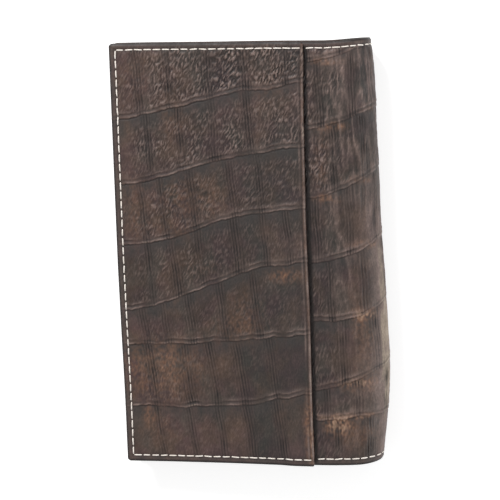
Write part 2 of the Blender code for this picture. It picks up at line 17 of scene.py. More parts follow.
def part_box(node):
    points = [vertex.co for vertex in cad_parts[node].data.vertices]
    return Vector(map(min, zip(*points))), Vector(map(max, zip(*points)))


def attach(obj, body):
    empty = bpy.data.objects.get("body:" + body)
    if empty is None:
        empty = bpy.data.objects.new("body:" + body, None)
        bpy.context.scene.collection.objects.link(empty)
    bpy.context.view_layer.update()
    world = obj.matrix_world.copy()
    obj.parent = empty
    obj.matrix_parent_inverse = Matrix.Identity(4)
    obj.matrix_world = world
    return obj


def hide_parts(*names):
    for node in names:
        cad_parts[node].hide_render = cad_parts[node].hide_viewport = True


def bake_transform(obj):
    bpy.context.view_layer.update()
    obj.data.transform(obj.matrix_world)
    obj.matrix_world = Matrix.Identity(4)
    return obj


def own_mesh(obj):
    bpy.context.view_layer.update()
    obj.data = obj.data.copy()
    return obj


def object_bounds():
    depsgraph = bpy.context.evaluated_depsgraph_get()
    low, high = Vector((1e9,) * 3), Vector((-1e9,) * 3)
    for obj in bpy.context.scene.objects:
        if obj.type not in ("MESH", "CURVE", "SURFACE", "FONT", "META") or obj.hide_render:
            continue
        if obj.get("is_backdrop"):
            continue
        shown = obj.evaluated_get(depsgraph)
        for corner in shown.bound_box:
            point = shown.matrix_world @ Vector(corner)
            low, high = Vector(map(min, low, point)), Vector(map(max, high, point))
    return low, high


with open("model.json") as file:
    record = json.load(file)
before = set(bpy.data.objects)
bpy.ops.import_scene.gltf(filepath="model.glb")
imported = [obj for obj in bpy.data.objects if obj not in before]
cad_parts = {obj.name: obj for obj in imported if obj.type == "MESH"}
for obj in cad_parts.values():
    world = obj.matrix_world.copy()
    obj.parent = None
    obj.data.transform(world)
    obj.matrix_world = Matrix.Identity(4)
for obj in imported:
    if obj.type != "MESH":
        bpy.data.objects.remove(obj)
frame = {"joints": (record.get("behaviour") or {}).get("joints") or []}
cad_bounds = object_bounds()

# The outer leather: one long piece of thick cowhide with a crocodile emboss that makes the back
# cover, the rolled spine and the front cover. It is dyed dark brown, waxed, and worn rusty on its
# high spots. It is cut in one piece, embossed under a hot plate and folded round the lining.

MM = 0.001
LEATHER_THICKNESS = 1.7
FINE_STEP = 0.32
BACK_STEP = 0.45
HIDDEN_STEP = 2.0
INNER_STEP = 3.0
EDGE_ROLL = 0.15
CORNER_RADIUS = 1.1
SEAM_INSET = 2.45
GROOVE_PITCH = 1.15


def box_of(node):
    """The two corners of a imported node's box, in mm."""
    return [np.array(corner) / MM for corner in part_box(node)]


joints = {joint["name"]: joint for joint in frame["joints"]}
folds = [joints[f"fold_{number}"] for number in range(1, 6)]
spine_turn = math.radians(sum(fold["range_deg"][1] for fold in folds))
cover_tilt = spine_turn - math.pi
fold_low = np.array(folds[0]["pos_m"]) / MM
fold_high = np.array(folds[-1]["pos_m"]) / MM
spine_radius = fold_high[2] / (1 - math.cos(spine_turn))
back_low, back_high = box_of("back_panel")
half_height = back_high[1]
cover_width = fold_low[0] - back_low[0]
spine_end = cover_width + spine_radius * spine_turn
full_width = spine_end + cover_width
segment = (spine_end - cover_width) / 4
middles = [cover_width + segment * (part + 0.5) for part in range(4)]

# Years in a pocket have swelled the spine below its middle and drawn it in at its stitched ends
SPINE_SWELL = (
    (-86, -1.5), (-79, -0.2), (-66, 1.5), (-48, 2.6), (-30, 1.9), (-10, 1.1),
    (10, 0.1), (40, -0.4), (60, -0.9), (72, -1.0), (79, -1.4), (86, -2.3),
)
# The ends have sagged too: how far, by the place across the closed wallet
TOP_SAG = ((-48, 0.1), (-36, 0.0), (-8, -0.6), (18, -1.0), (40, -1.6), (52, -0.8), (62, -0.3))
FOOT_SAG = ((-48, 0.3), (-30, 0.0), (-5, -0.7), (18, -1.6), (35, -2.0), (46, -1.9), (55, -1.0), (62, -0.3))
SAG_FROM = 68
# Its free edges have also crept inwards below the middle
FREE_EDGE_CREEP = ((-86, 0.85), (-60, 0.8), (-45, 0.6), (-32, 0.35), (-18, 0.2), (-5, 0.0), (86, 0.0))


def soft_line(points, reach=3.0):
    """A function through a few (place, value) points, with its corners softened."""
    places, values = np.array(points, float).T
    step = 0.5
    span = 3 * reach
    fine = np.arange(places[0] - 30, places[-1] + 30, step)
    tail = np.arange(-span, span + step / 2, step)
    weights = np.exp(-0.5 * (tail / reach) ** 2)
    padded = np.interp(np.arange(fine[0] - span, fine[-1] + span + step / 2, step), places, values)
    soft = np.convolve(padded, weights / weights.sum(), "valid")
    return lambda at: np.interp(at, fine, soft[:len(fine)])


def ramp(values, low, high):
    """Rises smoothly from 0 at low to 1 at high."""
    share = np.clip((values - low) / (high - low), 0, 1)
    return share * share * (3 - 2 * share)


def bell(values, width):
    """1 in the middle, and nearly 0 two widths away."""
    return np.exp(-0.5 * (values / width) ** 2)


def spaced(low, high, step):
    """Places from low to high, about a step apart."""
    return np.linspace(low, high, max(2, round((high - low) / step) + 1))


swell_at = soft_line(SPINE_SWELL, 5.0)
top_sag_at = soft_line(TOP_SAG)
foot_sag_at = soft_line(FOOT_SAG)
creep_at = soft_line(FREE_EDGE_CREEP, 5.0)


def settled(x, along, z):
    """Points of the closed wallet, moved as far as its ends and its free edges have settled."""
    moved = along + top_sag_at(x) * ramp(along, SAG_FROM, half_height)
    moved = moved + foot_sag_at(x) * ramp(-along, SAG_FROM, half_height)
    x = x + creep_at(along) * ramp(-x, 15, -back_low[0])
    return np.stack(np.broadcast_arrays(x, moved, z), -1)


def leather_place(across, along, out, most_swell=9.0):
    """Points on the long leather, out from its outer face, on either cover or round the spine."""
    across, along, out = np.broadcast_arrays(np.asarray(across, float), along, out)
    turn = np.clip((across - cover_width) / spine_radius, 0, spine_turn)
    angle = math.pi / 2 + cover_tilt - turn
    radius = spine_radius + out
    before = np.clip(cover_width - across, 0, None)
    after = np.clip(across - spine_end, 0, None)
    swell = np.minimum(swell_at(along), most_swell) * np.clip(np.cos(angle), 0, 1)
    x = fold_low[0] + radius * np.cos(angle) + swell - before * math.cos(cover_tilt) - after
    z = spine_radius + radius * np.sin(angle) - before * math.sin(cover_tilt)
    return settled(x, along, z)


def hills(u, v, seed):
    """Smooth random hills between about -1 and 1, one unit apart, from a hash of their places."""
    u, v = np.broadcast_arrays(np.asarray(u, float), np.asarray(v, float))
    column, row = np.floor(u).astype(np.int64), np.floor(v).astype(np.int64)
    total = np.zeros(u.shape)
    for right in (0, 1):
        for above in (0, 1):
            mix = ((column + right) * 374761393 + (row + above) * 668265263 + seed * 974634777) & 0xFFFFFFFF
            mix = ((mix ^ (mix >> 13)) * 1274126177) & 0xFFFFFFFF
            angle = (mix ^ (mix >> 16)) / 0xFFFFFFFF * 2 * math.pi
            from_u, from_v = u - column - right, v - row - above
            near_u, near_v = 1 - abs(from_u), 1 - abs(from_v)
            weight = near_u ** 3 * (near_u * (near_u * 6 - 15) + 10)
            weight = weight * near_v ** 3 * (near_v * (near_v * 6 - 15) + 10)
            total += (np.cos(angle) * from_u + np.sin(angle) * from_v) * weight
    return total * 1.5


def scale_rows(across, along, ridges, seed):
    """Each place's row of scales, and how far it is below and above the ridges that bound the row."""
    row = np.zeros(across.shape, int)
    below = half_height + 12 - along
    above = half_height + 12 + along
    for number, points in enumerate(ridges):
        line = soft_line(points)(across) + 0.45 * hills(across / 6, number + 0.5, seed)
        line = line + 0.22 * hills(across / 1.7, number + 0.5, seed + 1)
        height = along - line
        row += height < 0
        below = np.where(height < 0, np.minimum(below, -height), below)
        above = np.where(height >= 0, np.minimum(above, height), above)
    return row, below, above


def ridge_lips(across, rows, seed, worn):
    """The ridges alone: a raised lip over a groove, in places with a second, weaker one over it."""
    row, below, above = rows
    vary = np.clip(0.75 + hills(across / 7, row * 3.7, seed + 2), 0.15, 1.4)
    dashed = np.clip(0.8 + 1.1 * hills(across / 2.6, row * 4.9, seed + 14), 0.15, 1.4)
    second = ramp(hills(across / 9, row * 5.1, seed + 3), -0.45, 0.3)
    relief = (0.17 - 0.07 * worn) * vary * bell(above - 0.5, 0.33)
    relief = relief - (0.11 - 0.05 * worn) * vary * bell(below - 0.25, 0.3)
    relief = relief + 0.12 * worn * vary * bell(above - 1.8, 0.9)
    relief = relief - 0.13 * second * bell(above - 1.6, 0.3) + 0.12 * second * bell(above - 2.3, 0.35)
    relief = relief - 0.16 * np.exp(-below / 1.8)
    # light paints a highlight on the top and upper side of each lip, which worn spreads into a broader band
    # that is partly wear; dark paints shade on the lip's lower side, in the groove and below the ridge
    light = (2.4 * vary * bell(above - 0.45, 0.2) + 1.4 * second * bell(above - 2.2, 0.2)) * dashed
    light = light * (1 - 0.6 * worn) + 0.9 * worn * vary * bell(above - 1.8, 0.9)
    dark = (0.85 - 0.45 * worn) * vary * bell(below - 0.2, 0.3) + 0.5 * bell(above - 1.2, 0.25)
    dark = dark + 0.6 * second * bell(above - 1.7, 0.25)
    dark = dark + 0.25 * np.exp(-below / 2.2)
    return {"relief": relief, "light": light, "dark": dark}


def upright_grooves(fields, across, along, rows, bundles, seed):
    """Cuts each row's bundles of fine upright grooves, and gives the scales between them a tone each."""
    row, below = rows[:2]
    groove = np.zeros(across.shape)
    levels = np.random.default_rng(seed)
    for number, places in enumerate(bundles):
        inside = row == number
        level = levels.uniform(-0.8, 0.8)
        fields["tone"] += inside * level
        for order, (place, slant) in enumerate(places):
            wander = 0.4 * hills(along / 13, order + 9.5 * number, seed + 4)
            offset = across - place + slant * along - wander
            depth = 0.85 + 0.7 * hills(along / 5, order + 5.5 * number, seed + 5)
            wide = levels.uniform(1.0, 1.9)
            depth = inside * np.clip(depth, 0.3, 1.4) * bell(offset, wide) * ramp(below, 0, 1.2)
            shifted = offset + 0.15 * hills(along / 6, order + 2.5 * number, seed + 12)
            broken = np.clip(0.9 + hills(offset / 0.8, along / 6, seed + 16), 0.2, 1.3)
            wave = np.cos(2 * math.pi * shifted / GROOVE_PITCH) * broken
            fields["relief"] -= depth * (0.10 + 0.14 * wave)
            # The grooves' bottoms are painted dark as shade and the ribs between them painted light as a
            # highlight
            fields["dark"] += depth * (0.5 + 0.9 * np.clip(wave, 0, 1))
            fields["light"] += 0.75 * depth * np.clip(-wave, 0, 1)
            groove = np.maximum(groove, depth)
            next_level = levels.uniform(-0.8, 0.8)
            fields["tone"] += inside * ramp(offset, -0.8, 0.8) * (next_level - level)
            level = next_level
    return groove


def scale_creases(fields, across, along, rows, groove, creasing, span, length, seed):
    """Creases the lower part of each scale, less beside its grooves and near the free edges."""
    row, below, above = rows
    reach = ramp(across, *span)
    at_left, at_right = (side[row] for side in np.array(creasing, float).T)
    strength = (at_left + (at_right - at_left) * reach) * ramp(below, 1.0, 6.0) * ramp(above, 0.7, 3.2)
    strength = strength * np.clip(1.0 + 0.7 * hills(across / 9, along / 8, seed + 13), 0.35, 1.4)
    strength = strength * (1 - 0.6 * np.clip(groove, 0, 1))
    strength = strength * (0.35 + 0.65 * ramp(np.minimum(across, full_width - across), 5, 11))
    drift = across + 0.4 * hills(across / 5, along / 6, seed + 6)
    drift = drift + 0.45 * hills(across / 2.4, along / 3.1, seed + 17)
    drift = drift + below * (0.38 + 0.2 * hills(across / 38, row * 2.3, seed + 7)) / length
    web = np.clip(1 - 3.4 * abs(hills(drift / 1.4, along / (3.8 * length), seed + 8)), 0, 1)
    dashes = ramp(hills(drift / 0.7, along / (2.1 * length), seed + 9), -0.05, 0.45)
    crease = 0.45 * web + 0.85 * dashes
    fields["relief"] += 0.24 * strength * (crease - 0.4)
    # The creases' raised lines are painted light, partly as wear and partly as a highlight, and their hollows
    # painted dark as shade
    fields["light"] += 1.35 * strength * np.clip(crease - 0.25, 0, 1)
    fields["dark"] += 2.6 * strength * np.clip(0.2 - crease, 0, 1)


def crocodile(across, along, ridges, bundles, creasing, span, seed, crease_length=1.0, worn=0.0):
    """The emboss: its relief in mm, how smooth each place is, and its light and dark, partly wear and partly
    painted highlight and shade.

    Rows of scales are parted by ridges, each a raised lip over a groove. Bundles of fine upright
    grooves part the scales of a row, and creases fill the lower part of each scale. creasing gives
    how strong they are in each row at the two ends of a span across, and worn how far the ridges
    are rubbed into soft bands.
    """
    across, along = np.broadcast_arrays(across, along)
    rows = scale_rows(across, along, ridges, seed)
    fields = ridge_lips(across, rows, seed, worn)
    fields["smooth"] = 1 - ramp(rows[1], 2.0, 8.0)
    fields["rust"] = np.zeros(across.shape)
    fields["tone"] = 0.9 * hills(across / 13, along / 10, seed + 15)
    groove = upright_grooves(fields, across, along, rows, bundles, seed)
    scale_creases(fields, across, along, rows, groove, creasing, span, crease_length, seed)
    fields["relief"] += 0.2 * hills(across / 17, along / 23, seed + 10)
    fields["relief"] += 0.08 * hills(across / 6, along / 8, seed + 11)
    return fields


def rub(fields, across, along, patches, seed):
    """Adds rusty patches, where the dye has worn through on what stands proud."""
    broken = 0.5 + 0.8 * hills(across, along / 1.6, seed)
    broken = broken + 0.5 * hills(across / 3.2, along / 4, seed + 1)
    for place, height, width, length, amount in patches:
        near = np.exp(-0.7 * (((across - place) / width) ** 2 + ((along - height) / length) ** 2) ** 1.3)
        fields["rust"] += amount * near * np.clip(broken + 0.25 * fields["light"], 0, 1.6)


def shade(fields, across, along, patches):
    """Lightens or darkens whole patches."""
    for place, height, width, length, amount in patches:
        fields["tone"] += amount * bell(across - place, width) * bell(along - height, length)


def finish_rim(fields, from_edge, from_end):
    """Flattens the emboss along the sewn edges, sinks the seam and rolls the edge off.

    The rims of the two ends, from_end away, have darkened more than the others.
    """
    calm = ramp(from_edge, 0.8, 3.6)
    from_seam = from_edge - SEAM_INSET
    fields["relief"] = fields["relief"] * (0.2 + 0.8 * calm) - 0.2 * bell(from_seam, 0.6)
    fields["relief"] -= 0.4 * (1 - ramp(from_edge, 0.0, 0.9))
    fields["light"] = fields["light"] * (0.25 + 0.75 * calm) + 0.35 * bell(from_edge - 1.2, 0.45)
    fields["dark"] = fields["dark"] * calm + 0.9 * (1 - ramp(from_edge, 0.25, 0.75))
    fields["dark"] += 0.35 * bell(from_seam, 0.5)
    end_rim = 0.5 * (1 - ramp(from_end, 1.6, 2.2))
    fields["dark"] += end_rim * (1 - 0.8 * bell(from_end - 1.2, 0.35))
    fields["smooth"] = np.maximum(fields["smooth"], 0.8 * (1 - calm))


def border(rows, columns):
    """The indices round the edge of a grid, once round."""
    low = [r * columns for r in range(rows)]
    far = [(rows - 1) * columns + c for c in range(1, columns)]
    high = [r * columns + columns - 1 for r in range(rows - 2, -1, -1)]
    near = [c for c in range(columns - 2, 0, -1)]
    return np.array(low + far + high + near)


def grid_faces(rows, columns, first=0):
    """The four-sided faces of a grid of points."""
    corner = first + np.arange(rows - 1)[:, None] * columns + np.arange(columns - 1)[None, :]
    return np.stack((corner, corner + columns, corner + columns + 1, corner + 1), -1).reshape(-1, 4).tolist()


def share_round(points):
    """How far round a closed loop each of its points is, from 0 to 1, and 1 again at its end."""
    steps = np.linalg.norm(np.roll(points, -1, 0) - points, axis=1)
    return np.concatenate(([0], np.cumsum(steps))) / steps.sum()


def join_loops(one, one_share, other, other_share):
    """Triangles between two loops that run the same way from the same corner."""
    faces, i, j = [], 0, 0
    while i < len(one) or j < len(other):
        next_one = one_share[i + 1] if i < len(one) else 2
        next_other = other_share[j + 1] if j < len(other) else 2
        here, there = one[i % len(one)], other[j % len(other)]
        if next_one <= next_other:
            faces.append((here, one[(i + 1) % len(one)], there))
            i += 1
        else:
            faces.append((here, other[(j + 1) % len(other)], there))
            j += 1
    return faces


def add_object(name, points, faces, flat=None, tones=None, sharp=70):
    """A piece from points in mm, with its flat place as UV and its tones as attributes."""
    mesh = bpy.data.meshes.new(name)
    mesh.from_pydata((np.asarray(points) * MM).tolist(), [], faces)
    mesh.update()
    tidy = bmesh.new()
    tidy.from_mesh(mesh)
    bmesh.ops.recalc_face_normals(tidy, faces=tidy.faces)
    tidy.to_mesh(mesh)
    tidy.free()
    mesh.shade_smooth()
    mesh.set_sharp_from_angle(angle=math.radians(sharp))
    if flat is not None:
        corners = np.empty(len(mesh.loops), np.int32)
        mesh.loops.foreach_get("vertex_index", corners)
        layer = mesh.uv_layers.new(name="flat")
        layer.uv.foreach_set("vector", (np.asarray(flat)[corners] * MM).astype(np.float32).ravel())
    for tone, values in (tones or {}).items():
        attribute = mesh.attributes.new(tone, "FLOAT", "POINT")
        attribute.data.foreach_set("value", np.asarray(values, np.float32).ravel())
    piece = bpy.data.objects.new(name, mesh)
    bpy.context.scene.collection.objects.link(piece)
    return piece


def rounded_off(grid_u, grid_v, low, high, top, radius, open_sides):
    """Draws in the ends of a grid's rows at the real corners, so that these are round."""
    past = np.clip(abs(grid_v) - (abs(top) - radius), 0, radius)
    inset = radius - np.sqrt(radius ** 2 - past ** 2)
    from_low = (grid_u - low) / (high - low)
    return grid_u + open_sides[0] * inset * (1 - from_low) - open_sides[1] * inset * from_low


# How deep in the thickness each ring of points round a cut edge lies, and how far it bulges
EDGE_RINGS = ((0.22, 1.0), (0.78, 1.0), (1.0, 0.0))
# The tones of the cut edge and the inner face
EDGE_TONES = {"light": 0.0, "dark": 0.7, "rust": 0.0, "smooth": 0.5, "tone": 0.0}


def add_skin(name, place, across, along, fields, thickness, open_sides, radius=CORNER_RADIUS):
    """A sheet of leather or cloth as a closed body.

    Its outer face has the relief. open_sides says which of its edges (low and high across, low and
    high along) are real ones, which are rolled over, and not where it meets its next piece.
    """
    grid_u, grid_v = np.meshgrid(across, along, indexing="ij")
    grid_u = rounded_off(grid_u, grid_v, across[0], across[-1], along[-1], radius, open_sides)
    outer = place(grid_u, grid_v, fields["relief"])
    inner_u = spaced(across[0], across[-1], INNER_STEP)
    inner_v = spaced(along[0], along[-1], INNER_STEP)
    coarse_u, coarse_v = np.meshgrid(inner_u, inner_v, indexing="ij")
    coarse_u = rounded_off(coarse_u, coarse_v, across[0], across[-1], along[-1], radius, open_sides)
    inner = place(coarse_u, coarse_v, -thickness)

    rim = border(len(across), len(along))
    rim_u, rim_v = grid_u.ravel()[rim], grid_v.ravel()[rim]
    push_u = open_sides[1] * (rim // len(along) == len(across) - 1) * 1.0
    push_u = push_u - open_sides[0] * (rim // len(along) == 0)
    push_v = open_sides[3] * (rim % len(along) == len(along) - 1) * 1.0
    push_v = push_v - open_sides[2] * (rim % len(along) == 0)
    depth = fields["relief"].ravel()[rim]
    points = [outer.reshape(-1, 3)]
    flats = [np.stack((grid_u, grid_v), -1).reshape(-1, 2)]
    loops = [rim]
    for share, roll in EDGE_RINGS:
        first = sum(len(block) for block in points)
        ring_u, ring_v = rim_u + push_u * EDGE_ROLL * roll, rim_v + push_v * EDGE_ROLL * roll
        points.append(place(ring_u, ring_v, depth + (-thickness - depth) * share))
        flats.append(np.stack((ring_u + push_u * share * thickness, ring_v + push_v * share * thickness), -1))
        loops.append(np.arange(first, first + len(rim)))
    first = sum(len(block) for block in points)
    points.append(inner.reshape(-1, 3))
    flats.append(np.stack((coarse_u, coarse_v), -1).reshape(-1, 2))

    faces = grid_faces(len(across), len(along))
    for one, other in zip(loops, loops[1:]):
        turned = zip(one, np.roll(one, -1), np.roll(other, -1), other)
        faces += [tuple(int(i) for i in quad) for quad in turned]
    everything = np.concatenate(points)
    inner_rim = border(len(inner_u), len(inner_v)) + first
    last = loops[-1]
    edge_share, inner_share = share_round(everything[last]), share_round(everything[inner_rim])
    faces += join_loops(last.tolist(), edge_share, inner_rim.tolist(), inner_share)
    faces += grid_faces(len(inner_u), len(inner_v), first)

    hidden = len(everything) - outer.shape[0] * outer.shape[1]
    tones = {}
    for tone, beyond in EDGE_TONES.items():
        if tone in fields:
            tones[tone] = np.concatenate((fields[tone].ravel(), np.full(hidden, beyond)))
    return add_object(name, everything, faces, np.concatenate(flats), tones)


def connect(tree, node, values):
    """Gives a node's inputs their values: numbers, colours or other nodes' outputs."""
    for socket, value in values.items():
        if isinstance(value, bpy.types.NodeSocket):
            tree.links.new(value, node.inputs[socket])
        else:
            node.inputs[socket].default_value = value


def add_node(tree, kind, values=None, **settings):
    """A shader node, with its inputs' values and its settings."""
    made = tree.nodes.new("ShaderNode" + kind)
    for setting, value in settings.items():
        setattr(made, setting, value)
    connect(tree, made, values or {})
    return made


def mixed(tree, amount, one, other):
    """One colour laid over another by an amount."""
    return add_node(tree, "Mix", {0: amount, 6: one, 7: other}, data_type="RGBA").outputs[2]


def darkened(tree, colour, share):
    """A colour with a share of black in it."""
    return mixed(tree, share, colour, (0, 0, 0, 1))


def scaled(tree, value, factor, plus=0.0):
    """A value times a factor, plus a constant, held between 0 and 1."""
    values = {0: value, 1: factor, 2: plus}
    return add_node(tree, "Math", values, operation="MULTIPLY_ADD", use_clamp=True).outputs[0]


def combined(tree, operation, one, other):
    """Two values put together, such as by their sum."""
    return add_node(tree, "Math", {0: one, 1: other}, operation=operation).outputs[0]


def grain(tree, where, scale, detail=3.0, roughness=0.55, stretch=(1, 1, 1)):
    """Noise whose spots are about 1/scale metres wide, stretched as asked."""
    spread = add_node(tree, "Mapping", {"Vector": where, "Scale": stretch}).outputs[0]
    values = {"Vector": spread, "Scale": scale, "Detail": detail, "Roughness": roughness}
    return add_node(tree, "TexNoise", values).outputs["Fac"]


def new_material(name):
    """A material, its node tree and its Principled shader."""
    material = bpy.data.materials.new(name)
    material.use_nodes = True
    return material, material.node_tree, material.node_tree.nodes["Principled BSDF"]


def flat_place(tree):
    """Where a place lay on its piece's flat pattern, in metres."""
    return add_node(tree, "UVMap", uv_map="flat").outputs[0]


def tone_of(tree, name):
    """One of a piece's tones."""
    return add_node(tree, "Attribute", attribute_name=name).outputs["Fac"]


def bumped(tree, shader, height, strength, distance):
    """Raises the surface by a height from 0 to 1, as far as a distance in mm."""
    values = {"Height": height, "Strength": strength, "Distance": distance * MM}
    tree.links.new(add_node(tree, "Bump", values).outputs[0], shader.inputs["Normal"])


def crocodile_leather():
    """Dark brown waxed leather: greener where smooth, rusty where rubbed, lighter on ridges and darker in
    hollows, partly as painted highlight and shade.
    """
    material, tree, shader = new_material("crocodile_leather")
    where = flat_place(tree)
    tone, smooth, rust = (tone_of(tree, name) for name in ("tone", "smooth", "rust"))
    light, dark = (tone_of(tree, name) for name in ("light", "dark"))
    cloud = grain(tree, where, 55, 3.0, 0.6)
    tint = grain(tree, where, 95, 2.0, 0.5, (1, 0.6, 1))
    blotch = grain(tree, where, 260, 4.0, 0.65, (1, 0.55, 1))
    pores = grain(tree, where, 1500, 3.0, 0.6, (1, 0.6, 1))
    colour = mixed(tree, scaled(tree, cloud, 6.0, -2.5), (0.051, 0.026, 0.029, 1), (0.063, 0.037, 0.026, 1))
    colour = mixed(tree, scaled(tree, tint, 6.0, -2.9), colour, (0.041, 0.035, 0.030, 1))
    deeper = mixed(tree, 0.42, colour, (0.01, 0.012, 0.01, 1))
    paler = mixed(tree, 0.20, colour, (0.20, 0.13, 0.10, 1))
    colour = mixed(tree, scaled(tree, tone, 0.5, 0.5), deeper, paler)
    polished = combined(tree, "MULTIPLY", smooth, scaled(tree, blotch, 2.4, -0.55))
    colour = mixed(tree, polished, colour, (0.042, 0.0365, 0.0345, 1))
    bare = mixed(tree, scaled(tree, blotch, 2.8, -0.9), (0.150, 0.070, 0.040, 1), (0.250, 0.145, 0.098, 1))
    colour = mixed(tree, scaled(tree, rust, 0.75), colour, bare)
    colour = mixed(tree, scaled(tree, rust, 0.7, -0.8), colour, (0.44, 0.28, 0.19, 1))
    # light lays on painted highlights and some wear; dark lays on painted shade, the dark cut edges and the
    # seams
    colour = mixed(tree, scaled(tree, light, 0.5), colour, (0.230, 0.164, 0.143, 1))
    colour = mixed(tree, scaled(tree, light, 0.4, -0.9), colour, (0.420, 0.335, 0.260, 1))
    colour = mixed(tree, scaled(tree, dark, 0.72), colour, (0.013, 0.008, 0.007, 1))
    colour = mixed(tree, scaled(tree, blotch, 3.0, -1.25), colour, darkened(tree, colour, 0.4))
    colour = mixed(tree, scaled(tree, pores, 2.4, -0.9), colour, darkened(tree, colour, 0.45))
    roughness = scaled(tree, blotch, 0.35, 0.36)
    connect(tree, shader, {"Base Color": colour, "Roughness": roughness, "Specular IOR Level": 0.3})
    bumped(tree, shader, pores, 0.5, 0.12)
    return material


# The photographed row lines of the front strip and the spine, as (across, along), top row first
SHELL_RIDGES = [
    [(74, 75.9), (80, 76.6), (86, 77.8), (94, 80.4), (104, 83)],
    [(74, 48.7), (86, 50.4), (93, 52.3), (101, 55.3), (107, 57)],
    [(74, 21.8), (84, 22.2), (90, 24.4), (97, 27.4), (102, 30.2), (108, 32.8)],
    [(74, -5.3), (80, -4.6), (87, -3.3), (96, -1.0), (102, 2.0), (108, 5.5)],
    [(74, -28.4), (80, -28.2), (88, -28.4), (97, -26.9), (102, -24.2), (110, -19.6)],
    [(74, -56.6), (86, -55.6), (94, -53.0), (103, -48.8), (110, -45.2)],
    [(74, -68.6), (88, -68.9), (98, -67.0), (108, -66.6)],
]
# Past the spine every row line carries on over the back cover in one long wave
BACK_WAVE = ((118, 1.5), (132, 0.5), (152, -4.0), (176, -5.5), (200, -3.0), (226, 1.0))
SHELL_CREASING = [(1.2, 0.4)] * 3 + [(0.6, 0.3)] * 5
SHELL_CREASING_SPAN = (83, 98)
SHELL_CREASE_LENGTH = 1.3
SHELL_BUNDLES = [
    [(place + 4 * (number % 3), 0.03) for place in (82, 95, 107, 121, 138, 154, 171, 187, 205, 219)]
    for number in range(8)
]
SHELL_RUST = (
    (87, 77.0, 6, 1.6, 1.3), (89, 50.2, 5, 1.8, 1.5), (86, 21.4, 5, 1.5, 1.4), (95, -53, 5, 1.3, 2.6),
    (88, -70.8, 4.2, 2.8, 3.6), (87, -67.5, 10, 1.0, 1.8), (103, 2.8, 7, 1.6, 1.4), (101, -25.4, 6, 2.0, 2.6),
    (98, -30, 3, 7, 0.7), (104, 57, 4, 1.2, 0.7), (101, 29, 7, 1.4, 1.0), (103, -44, 6, 12, 0.6),
    (84, 36, 3, 12, 0.5), (97, -66.5, 8, 1.0, 1.2), (95, -73, 9, 5, 0.6), (98, -54, 10, 2.6, 1.0),
    (150, 20, 14, 10, 0.5), (185, -40, 16, 12, 0.6), (205, 55, 12, 9, 0.5), (160, -66, 10, 6, 0.5),
)
# Where the swollen spine is painted light, as a painted grazing highlight along its outer edge and as patches
# rubbed grey: (across, along), how wide, how long and how much
SPINE_HIGHLIGHT_AND_WEAR = ((109.2, -36, 2.5, 25, 6.5), (103, -52, 5.0, 9, 0.8), (107, -2, 2.0, 8, 0.7),
              (94, 74, 2.0, 6, 0.5), (110, 60, 1.2, 9, 0.7), (102, 5, 2.5, 10, 0.5))
SHELL_SHADES = ((90, 40, 10, 30, -0.4), (87, 5, 6, 12, -0.9), (103, 6, 6, 10, 0.9), (100, -35, 8, 12, 0.7),
                (99, -80, 7, 6, 0.6), (87, -30, 5, 12, 0.3))
FOLD_STRETCH = 20.0
BACK_DROP = 0.25
# The outside pocket hides the front cover's leather up to here
POCKET_HIDES = 74
# How deep under the outer face the bends are measured: deeper than any layer that bends with it
BEND_DEPTH = 5.4
SHELL_SEED = 40
FOLD_SEED = 61
SHELL_RUB_SEED = 71

zones = [
    ("front_leather", "spine_4", "front_cover", 0, middles[0]),
    ("spine_leather_upper", "spine_4", "spine_3", middles[0], middles[1]),
    ("spine_leather_middle", "spine_3", "spine_2", middles[1], middles[2]),
    ("spine_leather_lower", "spine_2", "spine_1", middles[2], middles[3]),
    ("back_leather", "spine_1", "back_cover", middles[3], full_width),
]
shell_nodes = {
    "front_leather": ["front_panel", "spine_leather_4"],
    "spine_leather_upper": ["spine_leather_3"],
    "spine_leather_middle": ["spine_leather_2"],
    "spine_leather_lower": ["spine_leather_1"],
    "back_leather": ["back_panel"],
}
along_rows = spaced(-half_height, half_height, FINE_STEP)


def zone_columns(low, high):
    """Places across one zone: close together where it shows."""
    if low == 0:
        hidden = spaced(0, POCKET_HIDES, HIDDEN_STEP)
        return np.concatenate((hidden[:-1], spaced(POCKET_HIDES, high, FINE_STEP)))
    return spaced(low, high, BACK_STEP if high == full_width else FINE_STEP)


